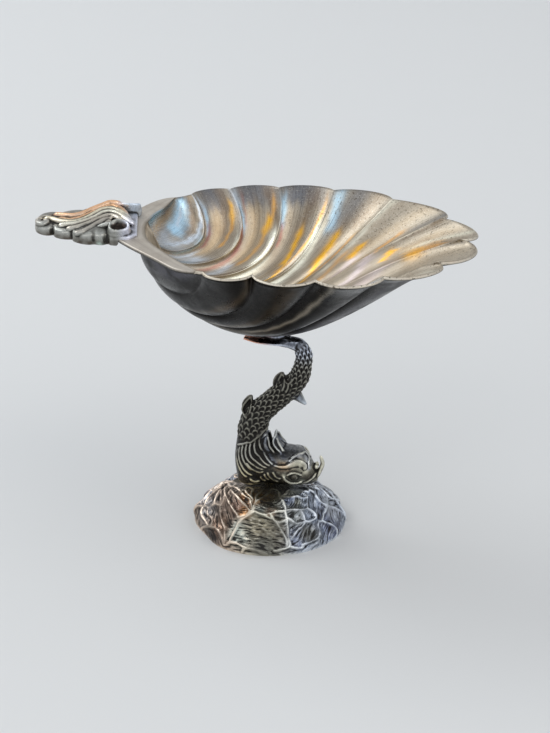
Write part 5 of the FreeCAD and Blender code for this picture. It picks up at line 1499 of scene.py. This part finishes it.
@dataclass
class RockBase:
    """The hollow cast rock with scooped faces, in metres from the foot's axis."""

    # Face tones darker than this are painted shade, which also dims the worn ridges.
    dark_tone: float = 0.18
    height: float = 0.0145
    rim_radius: float = 0.024
    top_radius: float = 0.0165
    hollow_radius: float = 0.0205
    hollow_top_radius: float = 0.0125
    roof: float = 0.003
    bore_radius: float = 0.00185
    scoop_depth: float = 0.0016
    scoop_reach: float = 0.0020
    turns: int = 720
    levels: int = 120
    top_rings: int = 56
    border: float = 0.00022
    border_reach: float = 0.00028
    dent_reach: float = 0.0072
    taper: float = 0.10
    # Worn shoulders of the top behind and a chip of the foot: place, then the way they move.
    DENTS = (((-0.0130, 0.0060, 0.0145), (0.0, 0.0, -0.0030)),
             ((0.0135, 0.0070, 0.0145), (0.0, 0.0, -0.0022)),
             ((-0.0205, -0.0125, 0.0), (0.0013, 0.0009, 0.0)))
    stroke: float = 0.00013
    stroke_length: float = 0.0045
    stroke_pitch: float = 0.0009

    PROFILE = ((0.0, 1.0), (0.30, 0.86), (0.62, 0.52), (0.90, 0.12), (1.0, -0.30))
    # Rise of the chisel strokes in metres, by degrees round the front.
    RISES = ((-180, 0.020), (-150, 0.012), (-120, 0.0), (-104, 0.0012), (-92, 0.0012), (-70, -0.0014),
             (-60, 0.0), (-40, 0.008), (-20, 0.018), (0, 0.028))
    # Ridges between the scooped faces: degrees round the axis, and height as a share of the rock's,
    # which runs on inward over the top.
    RIDGES = (
        ((-100, 0.86), (-104, 0.95), (-113, 1.02), (-133, 1.15), (-150, 1.15), (-160, 0.98), (-146, 0.93),
         (-135, 0.88), (-124, 0.80), (-117, 0.74), (-114, 0.69), (-108, 0.73), (-103, 0.82), (-100, 0.86),
         (-100, 0.97), (-95, 1.13), (-89, 1.29), (-77, 1.55), (-64, 1.45), (-67, 1.16), (-66, 0.95),
         (-67, 0.86), (-75, 0.85), (-83, 0.82), (-89, 0.80), (-99, 0.85)),
        ((-147, 0.99), (-130, 0.98), (-114, 0.94), (-104, 0.85)),
        ((-99, 0.84), (-105, 0.74), (-112, 0.60), (-113, 0.47), (-114, 0.33), (-114, 0.22), (-108, 0.22),
         (-102, 0.16), (-94, 0.13), (-86, 0.05)),
        ((-89, 0.80), (-79, 0.70), (-75, 0.59), (-72, 0.47), (-70, 0.35), (-70, 0.21)),
        ((-83, 0.82), (-78, 0.69), (-73, 0.66), (-67, 0.70)),
        ((-67, 0.86), (-67, 0.72), (-67, 0.57), (-68, 0.38), (-68, 0.20), (-74, 0.15), (-80, 0.12)),
        ((-67, 1.16), (-55, 1.23), (-43, 1.33), (-34, 1.17), (-33, 0.95), (-45, 1.0), (-57, 1.08),
         (-67, 1.16)),
        ((-33, 0.95), (-38, 0.89), (-42, 0.79), (-50, 0.80), (-58, 0.84), (-67, 0.86)),
        ((-42, 0.79), (-36, 0.66), (-37, 0.57), (-45, 0.56), (-50, 0.59), (-58, 0.59), (-63, 0.67),
         (-67, 0.72)),
        ((-50, 0.80), (-49, 0.68), (-50, 0.59), (-54, 0.52), (-59, 0.47), (-65, 0.37)),
        ((-34, 1.17), (-25, 0.99), (-17, 0.98), (-20, 0.83), (-17, 0.70), (-13, 0.60), (-25, 0.56),
         (-32, 0.48), (-37, 0.48), (-40, 0.34), (-44, 0.23), (-51, 0.20), (-57, 0.19), (-59, 0.12),
         (-66, 0.17), (-68, 0.20)),
        ((-44, 0.23), (-44, 0.14), (-50, 0.08), (-57, 0.03)),
        ((-44, 0.14), (-42, 0.03)),
        ((-13, 0.60), (-3, 0.44), (1, 0.19)),
        ((-32, 0.48), (-24, 0.28), (-22, 0.07), (-28, 0.0)),
        ((-17, 0.98), (-9, 1.10), (-2, 0.92), (0, 0.70), (-13, 0.60)),
        ((-160, 0.98), (-144, 0.90), (-141, 0.74), (-151, 0.66), (-156, 0.52), (-152, 0.43), (-143, 0.42),
         (-139, 0.35), (-141, 0.27), (-133, 0.33), (-126, 0.31), (-122, 0.23), (-119, 0.10), (-114, 0.22)),
        ((-141, 0.74), (-136, 0.62), (-130, 0.52), (-123, 0.41), (-120, 0.27), (-119, 0.10)),
        ((-161, 0.90), (-157, 0.76), (-151, 0.66)),
        ((-141, 0.27), (-148, 0.30), (-160, 0.33), (-166, 0.45), (-156, 0.52)),
        ((-141, 0.27), (-150, 0.14), (-156, 0.0)),
        ((-166, 0.45), (-174, 0.62), (-169, 0.92), (-180, 0.95), (-178, 0.99), (-164, 1.01), (-177, 1.03),
         (-182, 1.13), (-169, 1.17), (-154, 1.08), (-164, 1.01)),
        ((-166, 0.45), (-176, 0.30), (-178, 0.08)),
        ((-102, 0.16), (-104, 0.05)),
        ((-133, 1.15), (-132, 1.26), (-110, 1.10), (-104, 0.95)),
        ((-132, 1.26), (-141, 1.41), (-123, 1.40), (-110, 1.10)),
        ((-100, 0.97), (-103, 1.20), (-100, 1.61)),
    )
    # Face tones, partly the patina's own: light and bluish faces are painted reflections, dark faces
    # painted shade.
    # Tones of the faces in front: degrees and height of the middle, reach, colour and strength.
    FACE_TONES_LIGHT_AND_SHADE = (
        (-136, 0.16, 0.0028, (0.02, 0.02, 0.022), 0.95), (-118, 0.90, 0.0026, (0.40, 0.26, 0.20), 0.9),
        (-109, 0.79, 0.0015, (0.70, 0.33, 0.12), 0.9), (-109, 0.42, 0.0026, (0.62, 0.66, 0.58), 0.95),
        (-80, 0.45, 0.0036, (0.13, 0.115, 0.085), 0.8), (-97, 0.60, 0.0030, (0.26, 0.23, 0.16), 0.8),
        (-85, 1.03, 0.0024, (0.08, 0.085, 0.075), 0.8), (-92, 0.90, 0.0014, (0.45, 0.48, 0.44), 0.8),
        (-82, 0.87, 0.0014, (0.50, 0.36, 0.27), 0.7), (-46, 0.89, 0.0020, (0.14, 0.14, 0.11), 0.8),
        (-57, 0.98, 0.0012, (0.34, 0.42, 0.62), 0.8), (-48, 0.95, 0.0008, (0.75, 0.76, 0.62), 0.7),
        (-32, 0.80, 0.0034, (0.36, 0.41, 0.50), 0.9), (-20, 0.30, 0.0044, (0.15, 0.17, 0.27), 0.9),
        (-8, 0.52, 0.0030, (0.46, 0.48, 0.52), 0.8), (-60, 0.30, 0.0022, (0.34, 0.38, 0.50), 0.8),
        (-50, 0.35, 0.0022, (0.17, 0.165, 0.13), 0.8), (-57, 0.70, 0.0018, (0.26, 0.27, 0.24), 0.7),
        (-140, 0.58, 0.0026, (0.16, 0.12, 0.10), 0.8), (-130, 0.40, 0.0024, (0.36, 0.23, 0.16), 0.7),
        (-160, 0.50, 0.0034, (0.24, 0.24, 0.25), 0.8), (-88, 0.16, 0.0026, (0.15, 0.15, 0.13), 0.8),
        (-110, 1.12, 0.0028, (0.40, 0.20, 0.08), 0.9), (-96, 1.25, 0.0030, (0.17, 0.12, 0.06), 0.9),
        (-165, 1.05, 0.0034, (0.30, 0.24, 0.20), 0.8),
    )

    def outline(self) -> tuple[np.ndarray, np.ndarray]:
        """Radius and height along the outside and over the top, and the outward normals."""
        rows = through([(share * self.height,
                         self.top_radius + spread * (self.rim_radius - self.top_radius))
                        for share, spread in self.PROFILE], self.levels)
        slope = np.gradient(rows, axis=0)
        normals = unit(np.stack([slope[:, 0], -slope[:, 1]], axis=1))
        top = np.linspace(rows[-1, 1], self.bore_radius, self.top_rings + 1)[1:]
        outline = np.vstack([rows[:, ::-1], np.stack([top, np.full(len(top), self.height)], axis=1)])
        normals = np.vstack([normals, np.tile([0.0, 1.0], (len(top), 1))])
        return outline, normals

    def spots(self, rows: np.ndarray, outline: np.ndarray) -> np.ndarray:
        """Places on the rock from degrees round the axis and heights, which run on over the top."""
        wall, over = outline[:self.levels], np.maximum(rows[:, 1] - 1.0, 0.0) * self.height
        reach = np.interp(rows[:, 1] * self.height, wall[:, 1], wall[:, 0]) - over
        turns = np.radians(rows[:, 0])
        return np.stack([reach * np.cos(turns), reach * np.sin(turns),
                         np.minimum(rows[:, 1], 1.0) * self.height], axis=1)

    def gaps(self, points: np.ndarray, outline: np.ndarray) -> np.ndarray:
        """Distance of each point from the nearest ridge, before and behind."""
        lines = np.vstack([through(rows, 12 * len(rows)) for rows in self.RIDGES])
        places = np.vstack([self.spots(lines + np.array([turn, 0.0]), outline) for turn in (0.0, 180.0)])
        tree = kdtree.KDTree(len(places))
        for number, row in enumerate(places.tolist()):
            tree.insert(row, number)
        tree.balance()
        return np.array([tree.find(row)[2] for row in points.tolist()])

    def build(self) -> bpy.types.Mesh:
        """The rock as one closed mesh, hollow below."""
        outline, normals = self.outline()
        turns = circle(self.turns)
        outer = self.spun(outline, turns)
        flat = outer.reshape(-1, 3)
        ragged = rough(flat * 620.0)
        turn = np.degrees(np.arctan2(flat[:, 1], flat[:, 0]))
        reach = np.linalg.norm(flat[:, :2], axis=1)
        rise = np.interp((turn % 180.0) - 180.0, *np.array(self.RISES, float).T)
        along, across = np.radians(turn) * self.rim_radius, flat[:, 2] - reach - rise
        broad = rough(np.stack([along / self.stroke_length, across / self.stroke_pitch, 0.0 * along],
                               axis=1))
        fine = rough(np.stack([along / 0.0019, across / 0.0005, 0.0 * along + 30.0], axis=1))
        gap = np.maximum(self.gaps(flat, outline) + 0.00016 * ragged - 0.0001, 0.0)
        inward = 1.0 - np.exp(-gap / self.scoop_reach)
        patchy = ramp(rough(flat * 210.0), -0.6, 0.5)
        raised = np.exp(-(gap / (self.border_reach * (1.0 + 0.4 * fine))) ** 2) * (0.3 + 0.7 * patchy)
        crisp = np.clip(1.0 - 4.5 * np.abs(broad), -1.0, 1.0)
        inside = ramp(gap, 0.00022, 0.0009)
        strokes = (0.75 * broad + 0.35 * fine + 0.20 * crisp) * inside
        on_top = flat[:, 2] > self.height - 1e-6
        seat = ramp(reach, self.hollow_top_radius * 0.55, self.hollow_top_radius * 0.95)
        strength = np.where(on_top, seat * 0.5, 1.0)
        foot = 0.12 + 0.88 * ramp(flat[:, 2], 0.0002, 0.0024)
        move = (raised * self.border + strokes * self.stroke - inward * self.scoop_depth) * strength * foot
        move += 0.0011 * np.exp(-((flat[:, 2] - 0.0028) / 0.0028) ** 2) * (reach > self.top_radius) - 0.0004
        sideways = np.repeat(normals[:, 0], self.turns)
        upward = np.repeat(normals[:, 1], self.turns)
        normal = np.stack([flat[:, 0] / reach * sideways, flat[:, 1] / reach * sideways, upward], axis=1)
        moved = flat + normal * move[:, None]
        for spot, way in self.DENTS:
            away = np.linalg.norm(flat - np.array(spot), axis=1) / self.dent_reach
            moved += np.exp(-away ** 2)[:, None] * np.array(way)
        behind = 1.0 - 0.8 * np.maximum(-np.sin(np.radians(turn)), 0.0)
        narrow = self.taper * behind * ramp(flat[:, 2], 0.15 * self.height, self.height) * ramp(reach,
                                                                                                0.004,
                                                                                                0.012)
        moved[:, :2] *= (1.0 - narrow)[:, None]
        moved[:, 2] = np.clip(moved[:, 2], 0.0, self.height + 0.0008)
        moved[flat[:, 2] <= 1e-6, 2] = 0.0
        skin = Skin()
        shape = outer.shape[:2]
        # Painted shade: a dark band just inside each ridge, where the scoop lies in shade.
        occlusion_shade = np.exp(-((gap - 0.0007) / 0.0003) ** 2)
        lip = np.exp(-(flat[:, 2] / 0.0007) ** 2)
        relief_and_shade_mm = (raised * 0.16 + lip * 0.10 + inside * (crisp * 0.03 + broad * 0.04 + fine * 0.04)
                    - occlusion_shade * 0.045 * patchy + 0.014)
        level = relief_and_shade_mm / 1000.0
        coat, glint = self.colours(flat, outline)
        first = skin.add_points(moved.reshape(outer.shape), relief=level.reshape(shape + (1,)),
                                coat=coat.reshape(shape + (4,)), glint=glint.reshape(shape + (4,)))
        inner = self.spun(self.hollow(), turns)
        second = skin.add_points(inner, relief=np.full(inner.shape[:2] + (1,), -0.00003),
                                 coat=np.broadcast_to([0.24, 0.20, 0.15, 1.0], inner.shape[:2] + (4,)),
                                 glint=np.broadcast_to([0.50, 0.43, 0.33, 1.0], inner.shape[:2] + (4,)))
        skin.add_quads(np.vstack([first, second, first[:1]]), closed=True)
        return skin.mesh("rock_cast")

    def hollow(self) -> np.ndarray:
        """Radius and height from the bore's lower end over the roof and down the hollow."""
        under = self.height - self.roof
        corners = [(self.bore_radius, under), (self.hollow_top_radius, under), (self.hollow_radius, 0.0)]
        rows = [np.linspace(start, end, 14) for start, end in zip(corners, corners[1:])]
        return np.vstack([rows[0], rows[1][1:]])

    @staticmethod
    def spun(outline: np.ndarray, turns: np.ndarray) -> np.ndarray:
        """Points of an outline turned round the axis."""
        reach, height = outline[:, :1], outline[:, 1:]
        return np.stack([reach * np.cos(turns), reach * np.sin(turns), height + 0.0 * turns], axis=2)

    def colours(self, points: np.ndarray, outline: np.ndarray) -> tuple[np.ndarray, np.ndarray]:
        """Coat and worn ridges: straw in the middle, painted copper and blue reflections at left and right.
        """
        side = points[:, 0] / self.rim_radius
        left, right = ramp(-side, -0.05, 0.55), ramp(side, 0.05, 0.6)
        coat = np.tile(np.array([0.26, 0.25, 0.20]), (len(points), 1))
        # Painted reflections: copper at the left and a lighter blue at the right.
        coat = mix(coat, (0.27, 0.20, 0.155), left)
        coat = mix(coat, (0.30, 0.34, 0.41), right)
        unshaded_share = np.ones(len(points))
        for turn, height, reach, colour, strength in self.FACE_TONES_LIGHT_AND_SHADE:
            for about in (turn, turn + 180.0):
                middle = self.spots(np.array([[about, height]]), outline)
                near = np.linalg.norm(points - middle, axis=1) / (reach * 1.3)
                cover = np.exp(-near ** 4 / 2.0) * strength
                coat = mix(coat, colour, cover)
                # Painted shade of the dark faces dims their ridges too.
                if max(colour) < self.dark_tone:
                    unshaded_share *= 1.0 - 0.7 * cover
        glint = np.tile(np.array([0.95, 0.91, 0.76]), (len(points), 1))
        # Glint takes the same painted reflections: copper left, blue right.
        glint = mix(glint, (0.88, 0.70, 0.56), left * 0.9)
        glint = mix(glint, (0.82, 0.88, 0.97), right * 0.9)
        return with_alpha(coat), with_alpha(glint * unshaded_share[:, None])


@dataclass
class Fastening:
    """Stud, washer and nut, kept from the frame."""

    nodes: tuple[str, ...] = ("tie_stud", "washer", "nut")

    def dress(self, frame: dict, material: bpy.types.Material) -> None:
        """Gives each fastener its brass."""
        for name in self.nodes:
            piece = frame["nodes"][name]
            for slot in piece.material_slots:
                slot.material = material
            LOG.info("%s dressed", name)


@dataclass
class Studio:
    """Pale floor, soft lamps and the camera."""

    camera_place: tuple[float, float, float] = (0.0741, -0.6161, 0.3243)
    turn_degrees: float = 6.7
    tilt_degrees: float = 23.6
    focal_pixels: float = 2200.0
    frame_pixels: float = 733.0
    sensor: float = 36.0
    floor_size: float = 3.0

    def camera(self, foot: Vector) -> None:
        """Camera at the photograph's viewing angle."""
        data = bpy.data.cameras.new("camera")
        data.sensor_fit = "VERTICAL"
        data.sensor_height = self.sensor
        data.lens = self.focal_pixels / self.frame_pixels * self.sensor
        data.clip_start = 0.01
        camera = bpy.data.objects.new("camera", data)
        bpy.context.scene.collection.objects.link(camera)
        camera.location = Vector(self.camera_place) + foot
        camera.rotation_euler = Euler((math.radians(90.0 - self.tilt_degrees), 0.0,
                                       math.radians(self.turn_degrees)))
        bpy.context.scene.camera = camera

    def floor(self) -> None:
        """Floor that curves up into a backdrop far behind."""
        skin = Skin()
        across = np.linspace(-self.floor_size, self.floor_size, 3)
        bend = [(-2.0, 0.0), (1.2, 0.0), (1.45, 0.02), (1.65, 0.09), (1.8, 0.24), (1.86, 0.5), (1.88, 2.2)]
        grid = np.array([[(x, y, z) for x in across] for y, z in bend])
        numbers = skin.add_points(grid)
        skin.add_quads(numbers)
        floor = place(skin.mesh("floor"), "floor")
        material = bpy.data.materials.new("floor_paper")
        material.use_nodes = True
        surface = material.node_tree.nodes["Principled BSDF"]
        surface.inputs["Base Color"].default_value = (0.72, 0.72, 0.71, 1.0)
        surface.inputs["Roughness"].default_value = 0.85
        floor.data.materials.append(material)

    def lamp(self, name: str, place_at: tuple[float, float, float], size: float, power: float,
             colour: Colour) -> None:
        """Soft area lamp aimed at the dish."""
        data = bpy.data.lights.new(name, "AREA")
        data.shape = "SQUARE"
        data.size = size
        data.energy = power
        data.color = colour
        lamp = bpy.data.objects.new(name, data)
        bpy.context.scene.collection.objects.link(lamp)
        lamp.location = place_at
        aim = Vector((0.0, 0.0, 0.07)) - Vector(place_at)
        lamp.rotation_euler = aim.to_track_quat("-Z", "Y").to_euler()

    def light(self) -> None:
        """World and lamps at a plain level."""
        world = bpy.data.worlds.new("studio")
        world.use_nodes = True
        background = world.node_tree.nodes["Background"]
        background.inputs["Color"].default_value = (0.90, 0.94, 1.0, 1.0)
        background.inputs["Strength"].default_value = 0.76
        bpy.context.scene.world = world
        self.lamp("window", (-0.9, 0.55, 1.0), 0.9, 6.0, (0.93, 0.97, 1.0))
        self.lamp("room", (0.9, -0.5, 1.1), 1.0, 3.0, (1.0, 0.96, 0.90))
        self.lamp("front", (-0.5, -1.1, 0.9), 1.0, 2.5, (1.0, 0.98, 0.95))
        bpy.context.scene.view_settings.view_transform = "Standard"


def dress(piece: bpy.types.Object, node: str, material: bpy.types.Material,
          foot: Vector) -> None:
    """Puts a piece where its CAD node is and gives it its finish.

    Args:
        piece: The new piece, built about the foot's axis.
        node: The CAD node that it stands for.
        material: The finish.
        foot: Where the foot's axis stands.
    """
    piece.data.transform(Matrix.Translation(foot))
    piece.data.materials.append(material)
    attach(piece, "root")
    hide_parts(node)
    LOG.info("%s: %d faces", piece.name, len(piece.data.polygons))


def main() -> None:
    """Builds the salt, its studio and the camera."""
    logging.basicConfig(level=logging.INFO)
    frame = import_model()
    low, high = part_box("tie_stud")
    foot = Vector(((low[0] + high[0]) / 2, (low[1] + high[1]) / 2, 0.0))
    studio = Studio()
    studio.camera(foot)
    finishes = Finishes()

    dish_mesh = ShellDish().build()
    DishFinish().paint(dish_mesh)
    dress(place(dish_mesh, "shell_dish"), "shell_bowl", finishes.dish(), foot)
    for maker, name, node, slot, hollow, ridge in (
            (ThumbPiece, "leaf_handle", "thumb_piece", "thumb_silver", -0.07, 0.09),
            (DolphinStem, "dolphin", "dolphin_stem", "dolphin_silver", -0.03, 0.12),
            (RockBase, "rock", "rock_base", "rock_silver", -0.05, 0.12)):
        piece = place(maker().build(), name)
        dress(piece, node, finishes.casting(slot + "_cast", hollow, ridge), foot)
    Fastening().dress(frame, finishes.brass())

    studio.floor()
    studio.light()


if __name__ == "__main__":
    main()
